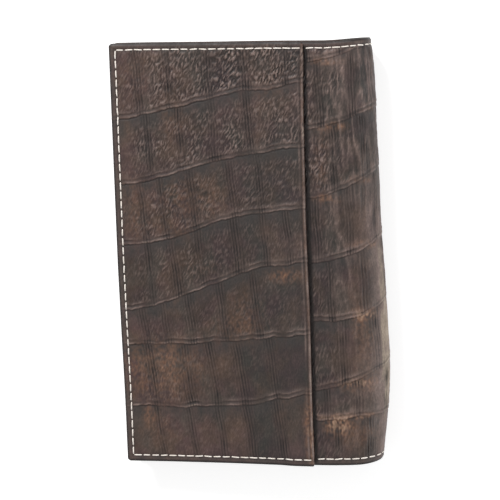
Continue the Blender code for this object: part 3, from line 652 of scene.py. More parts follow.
def shell_fields(across, along):
    """The emboss of the long leather, with the long folds that its spine has taken on."""
    ridges = [points + [(at, points[-1][1] + rise) for at, rise in BACK_WAVE] for points in SHELL_RIDGES]
    fields = crocodile(across, along, ridges, SHELL_BUNDLES, SHELL_CREASING, SHELL_CREASING_SPAN,
                       SHELL_SEED, SHELL_CREASE_LENGTH, worn=0.9)
    fold = (0.3 + 0.7 * ramp(across, 83, 92)) * (1 - ramp(across, 124, 134))
    fold = fold * (0.3 + 0.7 * ramp(along, -35, 50))
    fold = fold * np.clip(0.9 + hills(across / 7, along / 20, FOLD_SEED + 3), 0.2, 1.5)
    drift = across + 0.8 * hills(across / 5, along / 16, FOLD_SEED)
    streak = np.clip(1 - 2.0 * abs(hills(drift / 3.0, along / FOLD_STRETCH, FOLD_SEED + 1)), 0, 1)
    streak = streak + 0.4 * np.clip(1 - 2.2 * abs(hills(drift / 1.5, along / 11, FOLD_SEED + 2)), 0, 1)
    fields["relief"] += 0.18 * fold * (streak - 0.5)
    # The folds' crests are painted light, partly as wear and partly as a highlight, and the troughs between
    # them painted dark as shade
    fields["light"] += 0.8 * fold * streak ** 2
    fields["dark"] += 1.1 * fold * np.clip(0.4 - streak, 0, 1)
    fields["smooth"] = np.maximum(fields["smooth"], 0.6 * fold * (1 - np.clip(streak, 0, 1)))
    rub(fields, across, along, SHELL_RUST, SHELL_RUB_SEED)
    # A painted grazing highlight along the swollen spine's outer edge, and a few patches rubbed grey
    for place, height, width, length, amount in SPINE_HIGHLIGHT_AND_WEAR:
        worn = bell(across - place, width) * bell(along - height, length)
        fields["light"] += amount * worn * (0.9 + 0.6 * hills(across / 2, along / 9, SHELL_RUB_SEED + 1))
    # A painted shadow on the front strip, along the foot of the outside pocket's raised mouth
    fields["dark"] += 1.5 * (1 - ramp(across, 78.8, 80.0))
    fields["tone"] = 1.4 * fields["tone"] - 0.15 - 0.5 * ramp(along, -20, 50)
    shade(fields, across, along, SHELL_SHADES)
    from_end = half_height - abs(along)
    finish_rim(fields, np.minimum(np.minimum(across, full_width - across), from_end), from_end)
    fields["relief"] -= BACK_DROP * ramp(across, spine_end - 8, spine_end + 4)
    return fields


def blend_zone(piece, one, other, low, high):
    """Bakes the place of a piece of the long leather, or of what lies on it, into its mesh; the ends of its
    zone's fold are found but not used.
    """
    if low == 0:
        low, high = middles[0], middles[0] - segment
    elif high == full_width:
        low, high = middles[3], middles[3] + segment
    start, end = (Vector((leather_place(at, 0.0, -BEND_DEPTH) * MM).tolist()) for at in (low, high))
    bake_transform(piece)
    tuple(start)
    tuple(end)


leather = crocodile_leather()
for name, one, other, low, high in zones:
    columns = zone_columns(low, high)
    fields = shell_fields(columns[:, None], along_rows[None, :])
    sides = (low == 0, high == full_width, True, True)
    piece = add_skin(name, leather_place, columns, along_rows, fields, LEATHER_THICKNESS, sides)
    piece.data.materials.append(leather)
    blend_zone(piece, one, other, low, high)
    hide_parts(*shell_nodes[name])

# The outside pocket: a second piece of the embossed leather laid on the front cover and sewn to it
# along three edges. Its fourth edge, the mouth, is turned under and stands a little open.

POCKET_THICKNESS = 0.95
POCKET_OUT = 1.3
HEM_OUT = 2.3
ROLL_RADIUS = 1.0
MOUTH_ROLL = 77.5
FLAP_END = 83.5
# The mouth's creased line, and its worn lip, which also carries a painted highlight
MOUTH_CREASE = 77.0
MOUTH_LIP = 78.2
MOUTH_SHIFT = ((-86, -0.1), (-77, -0.5), (-48, -0.5), (-28, -0.3), (-4, -0.8), (17, -1.0),
               (30, -0.8), (63, -0.6), (83, 0.0))
MOUTH_GAPE = ((-86, 0.1), (-74, 0.4), (-50, 0.5), (-10, 0.4), (40, 0.2), (80, 0.0))
POCKET_RIDGES = [
    [(0, 55.3), (9, 55.8), (16, 57.6), (28, 59.8), (39, 62.7), (54, 65.7), (65, 65.6), (75, 68.1), (80, 69)],
    [(0, 29.0), (11, 29.9), (17, 31.0), (28, 34.0), (38, 37.0), (52, 39.9), (64, 41.1), (74, 42.7), (80, 43)],
    [(0, 4.0), (11, 4.4), (28, 8.0), (33, 10.0), (43, 13.5), (54, 15.7), (64, 16.8), (76, 17.8), (80, 18)],
    [(0, -22.6), (10, -21.6), (19, -19.3), (26, -17.1), (36, -13.3), (45, -10.1), (56, -5.8), (63, -5.1),
     (78, -3.5)],
    [(0, -36.8), (15, -36.4), (27, -36.7), (36, -35.5), (53, -35.6), (60, -34.4), (69, -34.1), (78, -32.3)],
    [(0, -62.5), (14, -61.9), (22, -62.8), (31, -62.8), (43, -62.4), (55, -61.6), (65, -59.6), (78, -57.5)],
]
# Where upright grooves part the scales of each row, and how far they lean from top to bottom
POCKET_SCALES = (
    (0.05, 70, (11.1, 23.3, 39.9, 54.8, 71.5)),
    (0.05, 46, (14.6, 27.7, 41.5, 56.1)),
    (0.09, 20, (11.2, 19.4, 32.1, 48.4, 60.1)),
    (0.09, -5, (13.1, 23.8, 34.4, 49.6, 62.2, 72.0)),
    (0.10, -30, (9.9, 19.0, 29.8, 42.9, 57.2)),
    (0.12, -48, (12.3, 27.3, 37.6, 49.1, 62.6)),
    (0.13, -73, (14.8, 28.5, 40.5, 52.1, 65.2)),
)
POCKET_CREASING = ((1.25, 1.85), (0.95, 1.15), (0.9, 0.7), (0.7, 0.45), (0.5, 0.35), (0.6, 0.1), (0.4, 0.2))
POCKET_CREASING_SPAN = (8, 72)
POCKET_RUST = (
    (31, 23, 15, 7, 0.6), (22, 11, 12, 4, 0.45), (16, -47, 14, 11, 1.15), (10, -66, 2, 3.5, 1.3),
    (69, -9, 6, 2.6, 1.15), (25, 55, 4, 8, 0.5), (10, 73, 5, 9, 0.4), (8, 20, 4, 14, 0.45),
    (45, -31, 12, 5, 0.4), (14, -72, 6, 6, 0.45), (52, -24, 6, 8, 0.45), (64, 66, 8, 6, 0.25),
    (77.7, -71, 1.9, 11, 2.5), (78.5, 70, 0.8, 16, 1.3), (78.5, 10, 0.8, 30, 0.6), (30, -6, 12, 5, 0.25),
)
POCKET_SHADES = ((6, 26, 3, 22, 0.8), (60, 38, 16, 12, -0.8), (32, 16, 22, 10, -0.35), (10, -48, 12, 12, 0.8),
                 (10, -72, 10, 8, 0.5), (70, -10, 6, 3, 0.9), (62, -66, 14, 8, 0.4))
POCKET_SEED = 7
POCKET_RUB_SEED = 23
MOUTH_SEED = 31

hem_out_at = soft_line(((-10, POCKET_OUT), (64.5, POCKET_OUT), (69.5, HEM_OUT), (95, HEM_OUT)), 1.2)
mouth_shift_at = soft_line(MOUTH_SHIFT, 5.0)
mouth_gape_at = soft_line(MOUTH_GAPE, 6.0)


def front_place(across, along, out):
    """Points out from the front cover's outer face, or in from it where out is negative."""
    across, along, out = np.broadcast_arrays(np.asarray(across, float), along, out)
    reach = cover_width - across
    x = fold_high[0] - reach * math.cos(cover_tilt) - out * math.sin(cover_tilt)
    z = fold_high[2] - reach * math.sin(cover_tilt) + out * math.cos(cover_tilt)
    return settled(x, along, z)


def pocket_place(across, along, out):
    """Points on the outside pocket's leather, which rolls under at the mouth."""
    across, along, out = np.broadcast_arrays(np.asarray(across, float), along, out)
    turn = np.clip((across - MOUTH_ROLL) / ROLL_RADIUS, 0, math.pi)
    under = np.clip(across - MOUTH_ROLL - math.pi * ROLL_RADIUS, 0, None)
    flat = np.minimum(across, MOUTH_ROLL) + (ROLL_RADIUS + out) * np.sin(turn) - under
    level = hem_out_at(across) - ROLL_RADIUS + (ROLL_RADIUS + out) * np.cos(turn)
    opening = ramp(across, 62, MOUTH_ROLL)
    flat = flat + mouth_shift_at(along) * ramp(across, 50, MOUTH_ROLL)
    return front_place(flat, along, level + mouth_gape_at(along) * opening)


pocket_columns = spaced(0, FLAP_END, FINE_STEP)
pocket_bundles = [[(at + lean * middle, lean) for at in places] for lean, middle, places in POCKET_SCALES]
across, along = pocket_columns[:, None], along_rows[None, :]
fields = crocodile(across, along, POCKET_RIDGES, pocket_bundles, POCKET_CREASING, POCKET_CREASING_SPAN,
                   POCKET_SEED, worn=0.15 + 0.5 * ramp(across, 20, 60))
rub(fields, across, along, POCKET_RUST, POCKET_RUB_SEED)
mouth = ramp(across, 75.0, MOUTH_CREASE) * (1 - ramp(across, 79.5, 81.0))
# Painted highlights: one along the mouth's rolled lip and a fainter one on the flat just inside its crease
lip = 2.2 * bell(across - MOUTH_LIP, 0.35) * (0.8 + hills(0.5, along / 5, MOUTH_SEED))
fields["relief"] = fields["relief"] * (1 - 0.75 * mouth) - 0.14 * bell(across - MOUTH_CREASE, 0.35)
fields["light"] = fields["light"] * (1 - 0.6 * mouth) + lip
fields["light"] += 1.3 * bell(across - 76.5, 0.28) * (0.6 + hills(0.5, along / 9, MOUTH_SEED + 1))
# Painted shade in the mouth's crease and on the underside of its roll
fields["dark"] += 0.7 * bell(across - 77.1, 0.3)
fields["dark"] += ramp(across, 79.2, 80.0)
fields["rust"] += 0.5 * bell(across - MOUTH_LIP, 0.6)
fields["tone"] = 1.2 * fields["tone"] + 0.3 - 0.8 * ramp(across, 15, 75)
shade(fields, across, along, POCKET_SHADES)
fields["smooth"] = np.maximum(fields["smooth"], 0.45 * ramp(across, 35, 75))
from_end = half_height - abs(along)
finish_rim(fields, np.minimum(across, from_end), from_end)
pocket = add_skin("outside_pocket", pocket_place, pocket_columns, along_rows, fields, POCKET_THICKNESS,
                  (True, False, True, True))
pocket.data.materials.append(leather)
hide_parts("front_pocket_panel")
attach(pocket, "front_cover")

# The lining: dark cotton twill glued to the inside of the long leather, which carries it round the
# spine. It shows at the fold, where the inside pockets stop short, and at the cut edges.

LINING_INSET = 0.25
LINING_STEP = 1.5
LINING_SEED = 91

lining_box = box_of("back_lining")
lining_depth = lining_box[1][2]
lining_thickness = lining_depth - lining_box[0][2]


def lining_place(across, along, out):
    """Points on the lining's inner face, and off it towards the inside of the wallet."""
    return leather_place(across, along, -(lining_depth + np.asarray(out)), most_swell=0.0)


def woven_ribs(tree, where, scale, distortion, detail=2.0, direction="DIAGONAL"):
    """Fine parallel ribs that waver a little."""
    values = {"Vector": where, "Scale": scale, "Distortion": distortion, "Detail": detail}
    return add_node(tree, "TexWave", values, bands_direction=direction).outputs["Fac"]


def lining_twill():
    """Dark brown cotton twill: fine slanted ribs over crossing threads, a little faded."""
    material, tree, shader = new_material("lining_twill")
    where = flat_place(tree)
    rib = woven_ribs(tree, where, 420.0, 0.6, 1.0)
    warp = woven_ribs(tree, where, 620.0, 0.8, 1.0, "X")
    weave = combined(tree, "ADD", rib, scaled(tree, warp, 0.5))
    faded = grain(tree, where, 60, 4.0, 0.6)
    colour = mixed(tree, scaled(tree, faded, 2.2, -0.7), (0.036, 0.024, 0.018, 1), (0.070, 0.050, 0.038, 1))
    colour = mixed(tree, scaled(tree, weave, 0.45), (0.012, 0.008, 0.006, 1), colour)
    connect(tree, shader, {"Base Color": colour, "Roughness": 0.85, "Specular IOR Level": 0.2,
                           "Sheen Weight": 0.15})
    bumped(tree, shader, weave, 0.6, 0.15)
    return material


twill = lining_twill()
lining_rows = spaced(-half_height + LINING_INSET, half_height - LINING_INSET, LINING_STEP)
lining_nodes = {
    "front_leather": ("front_lining_cloth", ["front_lining", "spine_lining_4"]),
    "spine_leather_upper": ("spine_lining_upper", ["spine_lining_3"]),
    "spine_leather_middle": ("spine_lining_middle", ["spine_lining_2"]),
    "spine_leather_lower": ("spine_lining_lower", ["spine_lining_1"]),
    "back_leather": ("back_lining_cloth", ["back_lining"]),
}
for name, one, other, low, high in zones:
    lining_name, stands_for = lining_nodes[name]
    lining_low = LINING_INSET if low == 0 else low
    lining_high = full_width - LINING_INSET if high == full_width else high
    columns = spaced(lining_low, lining_high, LINING_STEP)
    across, along = np.meshgrid(columns, lining_rows, indexing="ij")
    puckers = 0.12 * hills(across / 9, along / 14, LINING_SEED)
    puckers = puckers * ramp(abs(across - full_width / 2), 30, 10)
    piece = add_skin(lining_name, lining_place, columns, lining_rows, {"relief": puckers}, lining_thickness,
                     (low == 0, high == full_width, True, True))
    piece.data.materials.append(twill)
    blend_zone(piece, one, other, low, high)
    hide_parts(*stands_for)

# The seam round the covers: a lockstitch of thick waxed cream thread, about 6.7 stitches to the
# inch, 2.45 mm in from the edge. Each stitch lies on the leather and dives into a hole at each end.

STITCH_PITCH = 3.8
STITCH_LENGTH = 3.5
THREAD_RADIUS = 0.26
THREAD_SIDES = 8
# How far along a stitch its rings of points are, from end to end, and how thick the thread is there
STITCH_RINGS = np.array((-1.0, -0.86, -0.6, -0.2, 0.2, 0.6, 0.86, 1.0))
RING_GIRTHS = np.array((0.55, 0.85, 1, 1.03, 1.03, 1, 0.85, 0.55))
CHANNEL_DEPTH = 0.2
# Where the front cover's own seam comes out of the outside pocket's mouth
MOUTH_SEAM_START = 79.0
# How far onto each cover, from the spine, the lining is bare and shows the seam that comes through it
LINING_SHOWS = 2.7
FLAT_STITCH_PITCH = 10
STITCH_SEED = 5

seam_jitter = np.random.default_rng(STITCH_SEED)
thread_turns = np.arange(THREAD_SIDES) * 2 * math.pi / THREAD_SIDES


def thread_material():
    """Cream thread, twisted, with a little dirt in it."""
    material, tree, shader = new_material("cream_thread")
    where = flat_place(tree)
    dirt = grain(tree, where, 300, 3.0)
    lay = woven_ribs(tree, where, 500.0, 0.0)
    colour = mixed(tree, scaled(tree, dirt, 2.2, -0.9), (1.0, 0.93, 0.86, 1), (0.70, 0.58, 0.48, 1))
    colour = mixed(tree, scaled(tree, lay, 0.15), colour, (0.62, 0.54, 0.46, 1))
    connect(tree, shader, {"Base Color": colour, "Roughness": 0.6})
    bumped(tree, shader, lay, 0.5, 0.1)
    return material


thread = thread_material()


def stitch_points(place, level, middle, half, radius):
    """One stitch, from its middle and the way to its end: its two ends dive into the leather."""
    at = middle + STITCH_RINGS[:, None] * half
    u, v = at[:, 0], at[:, 1]
    rise = radius * (0.5 - 1.4 * abs(STITCH_RINGS) ** 4)
    line = place(u, v, level(u, v) + rise)
    above = place(u, v, level(u, v) + rise + 0.1) - line
    above /= np.linalg.norm(above, axis=1)[:, None]
    aside = np.cross(np.gradient(line, axis=0), above)
    aside /= np.linalg.norm(aside, axis=1)[:, None]
    ring = np.cos(thread_turns)[None, :, None] * above[:, None, :]
    ring = ring + np.sin(thread_turns)[None, :, None] * aside[:, None, :]
    thick = radius * RING_GIRTHS
    return (line[:, None, :] + thick[:, None, None] * ring).reshape(-1, 3)


def stitch_faces(first):
    """The faces of one stitch, with the number of its first point."""
    faces = []
    last = first + (len(STITCH_RINGS) - 1) * THREAD_SIDES
    for low in range(first, last, THREAD_SIDES):
        high = low + THREAD_SIDES
        for side in range(THREAD_SIDES):
            next_side = (side + 1) % THREAD_SIDES
            faces.append((low + side, low + next_side, high + next_side, high + side))
    return faces + [tuple(range(end, end + THREAD_SIDES)) for end in (first, last)]


def add_seam(name, routes, pitch=STITCH_PITCH, length=STITCH_LENGTH, radius=THREAD_RADIUS):
    """The stitches of one or more straight seams as one piece.

    A route is (place, level, start, end): a function that gives points, how far out the leather's
    face is there, and the two ends of the seam as (across, along).
    """
    points, faces, flats = [], [], []
    for place, level, start, end in routes:
        start, end = np.array(start, float), np.array(end, float)
        span = np.linalg.norm(end - start)
        count = max(1, round(span / pitch))
        for number in range(count):
            middle = start + (end - start) * (number + 0.5) / count
            half = (end - start) / span * length / 2 * seam_jitter.uniform(0.88, 1.04)
            tilt = np.array((-half[1], half[0])) * seam_jitter.normal(0, 0.04)
            faces += stitch_faces(len(points) * len(STITCH_RINGS) * THREAD_SIDES)
            points.append(stitch_points(place, level, middle, half + tilt, radius))
            flat_along = STITCH_RINGS[:, None] * length / 2 + FLAT_STITCH_PITCH * number
            flat = np.stack(np.broadcast_arrays(flat_along, thread_turns * radius), -1)
            flats.append(flat.reshape(-1, 2))
    piece = add_object(name, np.concatenate(points), faces, np.concatenate(flats))
    piece.data.materials.append(thread)
    return piece


def sunk(across, along):
    """The bottom of the channel that a seam lies in."""
    return np.full(np.broadcast(across, along).shape, -CHANNEL_DEPTH)


def sunk_back(across, along):
    """The same on the back cover, whose emboss lies a little deeper."""
    return sunk(across, along) - BACK_DROP


def on_lining(across, along):
    """The lining's face, where the same seam comes through."""
    return np.zeros(np.broadcast(across, along).shape)


top_line = half_height - SEAM_INSET
pocket_seam = add_seam("outside_pocket_stitches", [
    (pocket_place, sunk, (SEAM_INSET, top_line), (SEAM_INSET, -top_line)),
    (pocket_place, sunk, (SEAM_INSET, top_line), (MOUTH_ROLL, top_line)),
    (pocket_place, sunk, (SEAM_INSET, -top_line), (MOUTH_ROLL, -top_line)),
])
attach(pocket_seam, "front_cover")

seam_names = ("front_stitches", "spine_stitches_upper", "spine_stitches_middle", "spine_stitches_lower",
              "back_stitches")
for seam_name, (name, one, other, low, high) in zip(seam_names, zones):
    seam_low = MOUTH_SEAM_START if low == 0 else low
    seam_high = full_width - SEAM_INSET if high == full_width else high
    level = sunk_back if high == full_width else sunk
    routes = [(leather_place, level, (seam_low, side * top_line), (seam_high, side * top_line))
              for side in (1, -1)]
    if high == full_width:
        routes.append((leather_place, level, (seam_high, top_line), (seam_high, -top_line)))
    inner_low = cover_width - LINING_SHOWS if low == 0 else low
    inner_high = spine_end + LINING_SHOWS if high == full_width else high
    routes += [(lining_place, on_lining, (inner_low, side * top_line), (inner_high, side * top_line))
               for side in (1, -1)]
    piece = add_seam(seam_name, routes)
    blend_zone(piece, one, other, low, high)

# The zip pocket's front: a panel of thin smooth brown leather with a long slot for the zip. Its
# edges are sewn down with the cover's seam, and the room for the bag stands up behind it.

PANEL_RIM = 3.0
PANEL_SLOPE = 3.8
RIM_TOP = 4.1
SLOT_CORNER = 2.0
PANEL_STEP = 1.2
SLOT_HALF_WIDTH = 4.5
SLOT_SEAM = 2.2
INSIDE_THICKNESS = 0.8
CROSS_STEPS = 44
RING_PER_CORNER = 7
PANEL_SEED = 101
# Between two pieces that lie close and don't touch
CLEARANCE = 0.3
# Between two that are glued or sewn face to face, so that neither shows through the other
HAIRLINE = 0.03

panel_low, panel_high = box_of("zip_pocket_panel")
stop_low, stop_high = box_of("zip_bottom_stop")
zip_x = (stop_low[0] + stop_high[0]) / 2
slot_half_length = -stop_low[1] + CLEARANCE


def smooth_leather():
    """Thin brown calf with a fine pebble, glossier where hands and cards rub it."""
    material, tree, shader = new_material("smooth_leather")
    where = flat_place(tree)
    pebble = add_node(tree, "TexVoronoi", {"Vector": where, "Scale": 1100.0, "Randomness": 1.0},
                      feature="DISTANCE_TO_EDGE").outputs["Distance"]
    cloud = grain(tree, where, 50, 4.0, 0.6)
    fine = grain(tree, where, 900, 3.0)
    colour = mixed(tree, scaled(tree, cloud, 3.0, -1.0), (0.085, 0.036, 0.018, 1), (0.135, 0.062, 0.030, 1))
    colour = mixed(tree, scaled(tree, tone_of(tree, "light"), 0.6), colour, (0.30, 0.17, 0.10, 1))
    colour = mixed(tree, scaled(tree, tone_of(tree, "dark"), 0.75), colour, (0.020, 0.010, 0.007, 1))
    colour = mixed(tree, scaled(tree, fine, 2.2, -0.8), colour, darkened(tree, colour, 0.35))
    colour = mixed(tree, scaled(tree, pebble, -9.0, 1.0), colour, darkened(tree, colour, 0.45))
    roughness = scaled(tree, cloud, 0.25, 0.45)
    connect(tree, shader, {"Base Color": colour, "Roughness": roughness, "Specular IOR Level": 0.16})
    bumped(tree, shader, scaled(tree, pebble, 5.0), 0.8, 0.12)
    return material


def rounded_loop(x_low, x_high, y_low, y_high, radius, per_x, per_y):
    """A rectangle with round corners as one loop of points, and which way is out at each."""
    corners = ((x_high - radius, y_low + radius, -90), (x_high - radius, y_high - radius, 0),
               (x_low + radius, y_high - radius, 90), (x_low + radius, y_low + radius, 180))
    arcs = []
    for x, y, start in corners:
        angles = np.radians(np.linspace(start, start + 90, RING_PER_CORNER))
        out = np.stack((np.cos(angles), np.sin(angles)), -1)
        arcs.append((np.array((x, y)) + radius * out, out))
    points, outs = [], []
    for number, (arc, out) in enumerate(arcs):
        count = (per_y, per_x)[number % 2]
        points.append(arc)
        outs.append(out)
        shares = np.linspace(0, 1, count + 2)[1:-1, None]
        points.append(arc[-1] + (arcs[(number + 1) % 4][0][0] - arc[-1]) * shares)
        outs.append(np.repeat(out[-1:], count, 0))
    return np.concatenate(points), np.concatenate(outs)


def add_frame(name, place, outer, hole, top, bottom, steps, tones):
    """A panel with a hole as a closed body, from its two outlines and its two faces' heights.

    place turns (x, along, height) into a point, top and bottom give the faces' heights, and tones
    is a function of the place for each tone.
    """
    (outer_line, outer_out), (hole_line, hole_out) = outer, hole
    shares = 0.5 - 0.5 * np.cos(np.linspace(0, math.pi, steps + 1))
    loops, flats = [], []
    tone_rows = {tone: [] for tone in tones}

    def add_loop(line, height, edge):
        loops.append(place(line[:, 0], line[:, 1], height))
        flats.append(line + edge)
        for tone, function in tones.items():
            tone_rows[tone].append(function(line[:, 0], line[:, 1]))

    for share in shares:
        line = hole_line + (outer_line - hole_line) * share
        add_loop(line, top(line[:, 0], line[:, 1]), 0)
    high, low = top(*outer_line.T), bottom(*outer_line.T)
    for down in (0.25, 0.75):
        add_loop(outer_line + EDGE_ROLL * outer_out, high + (low - high) * down, outer_out * down)
    for share in shares[::-4]:
        line = hole_line + (outer_line - hole_line) * share
        add_loop(line, bottom(line[:, 0], line[:, 1]), 0)
    high, low = top(*hole_line.T), bottom(*hole_line.T)
    for down in (0.75, 0.25):
        add_loop(hole_line - EDGE_ROLL * hole_out, high + (low - high) * down, -hole_out * down)

    count = len(outer_line)
    faces = []
    for number in range(len(loops)):
        here = number * count + np.arange(count)
        there = (number + 1) % len(loops) * count + np.arange(count)
        quads = np.stack((here, np.roll(here, -1), np.roll(there, -1), there), -1)
        faces += quads.tolist()
    values = {tone: np.concatenate(rows) for tone, rows in tone_rows.items()}
    return add_object(name, np.concatenate(loops), faces, np.concatenate(flats), values)


def panel_edge(x, along):
    """How far a place on the zip pocket's panel is from the panel's edge."""
    return np.minimum(np.minimum(x - panel_low[0], panel_high[0] - x), half_height - abs(along))


def slot_edge(x, along):
    """How far a place is from the slot's edge."""
    beside = np.clip(abs(x - zip_x) - SLOT_HALF_WIDTH, 0, None)
    beyond = np.clip(abs(along) - slot_half_length, 0, None)
    return np.hypot(beside, beyond)


def panel_top(x, along):
    """The panel's upper face: flat rim, raised middle, sunk seams and a turned slot edge."""
    from_edge, from_slot = panel_edge(x, along), slot_edge(x, along)
    height = RIM_TOP + (panel_high[2] - RIM_TOP) * ramp(from_edge, PANEL_RIM, PANEL_RIM + PANEL_SLOPE)
    height = height - 0.10 * bell(from_edge - SEAM_INSET, 0.5)
    height = height - 0.12 * bell(from_slot - SLOT_SEAM, 0.5) - 0.3 * (1 - ramp(from_slot, 0, 0.7))
    inner = ramp(from_edge, 5, 12)
    return height - 0.12 * (1 + hills(x / 18, along / 24, PANEL_SEED)) * inner


def panel_bottom(x, along):
    """The panel's lower face, which reaches down to the lining along the sewn rim."""
    inner = ramp(panel_edge(x, along), PANEL_RIM, PANEL_RIM + 1.5)
    top = panel_top(x, along)
    under = lining_depth + HAIRLINE + (top - INSIDE_THICKNESS - lining_depth) * inner
    return np.minimum(top - 0.5, under)


def panel_light(x, along):
    """Where the panel is rubbed light: on the slot's edge and where its rim starts to rise."""
    return 0.8 * bell(slot_edge(x, along) - 0.3, 0.35) + 0.5 * bell(panel_edge(x, along) - 7.0, 1.0)


def panel_dark(x, along):
    """Where it is dark: along its cut edge, at the foot of the rise and in the slot's seam."""
    dark = 0.9 * (1 - ramp(panel_edge(x, along), 0.1, 0.5)) + 0.3 * bell(panel_edge(x, along) - 4.5, 1.2)
    return dark + 0.3 * bell(slot_edge(x, along) - SLOT_SEAM, 0.4)


calf = smooth_leather()
per_x = round((panel_high[0] - panel_low[0]) / PANEL_STEP)
per_y = round(2 * half_height / PANEL_STEP)
outer = rounded_loop(panel_low[0], panel_high[0], -half_height, half_height, CORNER_RADIUS, per_x, per_y)
hole = rounded_loop(zip_x - SLOT_HALF_WIDTH, zip_x + SLOT_HALF_WIDTH, -slot_half_length, slot_half_length,
                    SLOT_CORNER, per_x, per_y)
panel = add_frame("zip_pocket_front", settled, outer, hole, panel_top, panel_bottom, CROSS_STEPS,
                  {"light": panel_light, "dark": panel_dark})
panel.data.materials.append(calf)
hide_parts("zip_pocket_panel")
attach(panel, "back_cover")

# The zip pocket's bag: one piece of the lining twill folded in two, hemmed over the inner edges of
# the zip tapes and sewn shut at its ends.

BAG_THICKNESS = 0.4
BAG_TURN = 0.7
BAG_TURN_STEPS = 8
# The bag's two hems stop this far from the zip's middle line
BAG_MOUTH = 7.0
BAG_SEED = 111

bag_low, bag_high = box_of("zip_pocket_bag")
bag_middle = (bag_low[2] + bag_high[2]) / 2


def bag_route():
    """The bag's section at the middle of its cloth, from one tape round both folds to the other."""
    turn = np.linspace(math.pi / 2, -math.pi / 2, BAG_TURN_STEPS)
    fold = (bag_high[0] - BAG_TURN - BAG_THICKNESS / 2, bag_middle)
    free = (bag_low[0] + BAG_TURN + BAG_THICKNESS / 2, bag_middle)
    points = [(zip_x + BAG_MOUTH, bag_middle + BAG_TURN)]
    points += [(fold[0] + BAG_TURN * math.cos(at), fold[1] + BAG_TURN * math.sin(at)) for at in turn]
    points += [(x, bag_middle - BAG_TURN) for x in spaced(fold[0] - 2, free[0] + 2, 3)]
    points += [(free[0] - BAG_TURN * math.cos(at), free[1] + BAG_TURN * math.sin(at)) for at in turn[::-1]]
    points += [(x, bag_middle + BAG_TURN) for x in spaced(free[0] + 3, zip_x - BAG_MOUTH, 3)]
    return np.array(points)


route = bag_route()
cloth_steps = np.linalg.norm(np.diff(route, axis=0), axis=1)
cloth_places = np.concatenate(([0], np.cumsum(cloth_steps)))
cloth_width = cloth_places[-1]
route_ahead = np.gradient(route, axis=0)
route_ahead /= np.linalg.norm(route_ahead, axis=1)[:, None]


def bag_place(cloth, along, out):
    """Points on the bag's cloth, by how far round its section they are."""
    cloth, along, out = np.broadcast_arrays(cloth, along, out)
    x, z = (np.interp(cloth, cloth_places, route[:, side]) for side in (0, 1))
    out_x = np.interp(cloth, cloth_places, route_ahead[:, 1])
    out_z = -np.interp(cloth, cloth_places, route_ahead[:, 0])
    away = out + BAG_THICKNESS / 2
    return settled(x + out_x * away, along, z + out_z * away)


bag_rows = spaced(bag_low[1], bag_high[1], 3)
cloth, along = np.meshgrid(cloth_places, bag_rows, indexing="ij")
crumple = 0.10 * hills(cloth / 11, along / 9, BAG_SEED) * ramp(abs(cloth - cloth_width / 2), 60, 40)
bag = add_skin("zip_pocket_bag_cloth", bag_place, cloth_places, bag_rows, {"relief": crumple}, BAG_THICKNESS,
               (False, False, False, False), radius=0)
bag.data.materials.append(twill)
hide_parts("zip_pocket_bag")
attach(bag, "back_cover")

# The zip: two woven tapes, each with a bead along its inner edge and a row of brass teeth clamped on
# it. The two rows stand half a pitch apart, mesh on the slot's middle line and part at the slider.
# The teeth and tapes above the slider's lowest stand are made as pieces apart from those below it.

TOOTH_PITCH = 2.4
TOOTH_WIDTH = 1.0
TOOTH_HEIGHT = 1.6
TOOTH_ROOT = 2.1
TOOTH_OVERLAP = 0.6
TOOTH_ROUND = 0.28
TAPE_EDGE = 1.4
TAPE_THICKNESS = 0.4
TAPE_RIB = 0.09
BEAD_RADIUS = 0.5
SPREAD_START = -1.8
SPREAD_LENGTH = 3.6
TOOTH_SPREAD = 1.3
# How far above the slider's lowest stand the teeth and tapes are parted into upper and foot pieces
PARTING_FROM = 0.4

chain_low, chain_high = box_of("zip_chain_edge_side")
slider_low, slider_high = box_of("zip_slider_body")
slider_y = (slider_low[1] + slider_high[1]) / 2
tape_z = (stop_low[2] + stop_high[2]) / 2
zip_top = box_of("zip_top_stop_edge_side")[0][1]
zip_bottom = stop_high[1]
tape_reach = zip_x - chain_low[0]
parting = slider_y - joints["zip_slide"]["range_m"][1] / MM + PARTING_FROM


def spread_at(along):
    """How far the slider's neck has pushed one row of teeth aside, at a place along the zip."""
    return TOOTH_SPREAD * ramp(along - slider_y, SPREAD_START, SPREAD_START + SPREAD_LENGTH)


def antique_brass():
    """Brass with a brown patina in its corners and brighter, scuffed high spots."""
    material, tree, shader = new_material("antique_brass")
    where = add_node(tree, "TexCoord").outputs["Object"]
    stain = grain(tree, where, 700, 5.0, 0.65)
    scuff = grain(tree, where, 3500, 3.0, 0.6, (1, 0.25, 1))
    edge = add_node(tree, "NewGeometry").outputs["Pointiness"]
    colour = mixed(tree, scaled(tree, stain, 2.6, -0.8), (0.62, 0.45, 0.22, 1), (0.30, 0.19, 0.09, 1))
    grimy = mixed(tree, 0.35, colour, (0.08, 0.05, 0.03, 1))
    colour = mixed(tree, scaled(tree, edge, 6.0, -2.9), grimy, colour)
    rough = combined(tree, "ADD", scaled(tree, stain, 0.35, 0.12), scaled(tree, scuff, 0.2))
    connect(tree, shader, {"Base Color": colour, "Roughness": rough, "Metallic": 1.0})
    bumped(tree, shader, scuff, 0.25, 0.03)
    return material


def tape_twill():
    """The tape's herringbone weave: near-black polyester with a slight shine."""
    material, tree, shader = new_material("tape_twill")
    rib = woven_ribs(tree, flat_place(tree), 500.0, 0.3)
    colour = mixed(tree, scaled(tree, rib, 0.8), (0.012, 0.009, 0.008, 1), (0.050, 0.036, 0.028, 1))
    connect(tree, shader, {"Base Color": colour, "Roughness": 0.7})
    bumped(tree, shader, rib, 0.6, 0.1)
    return material


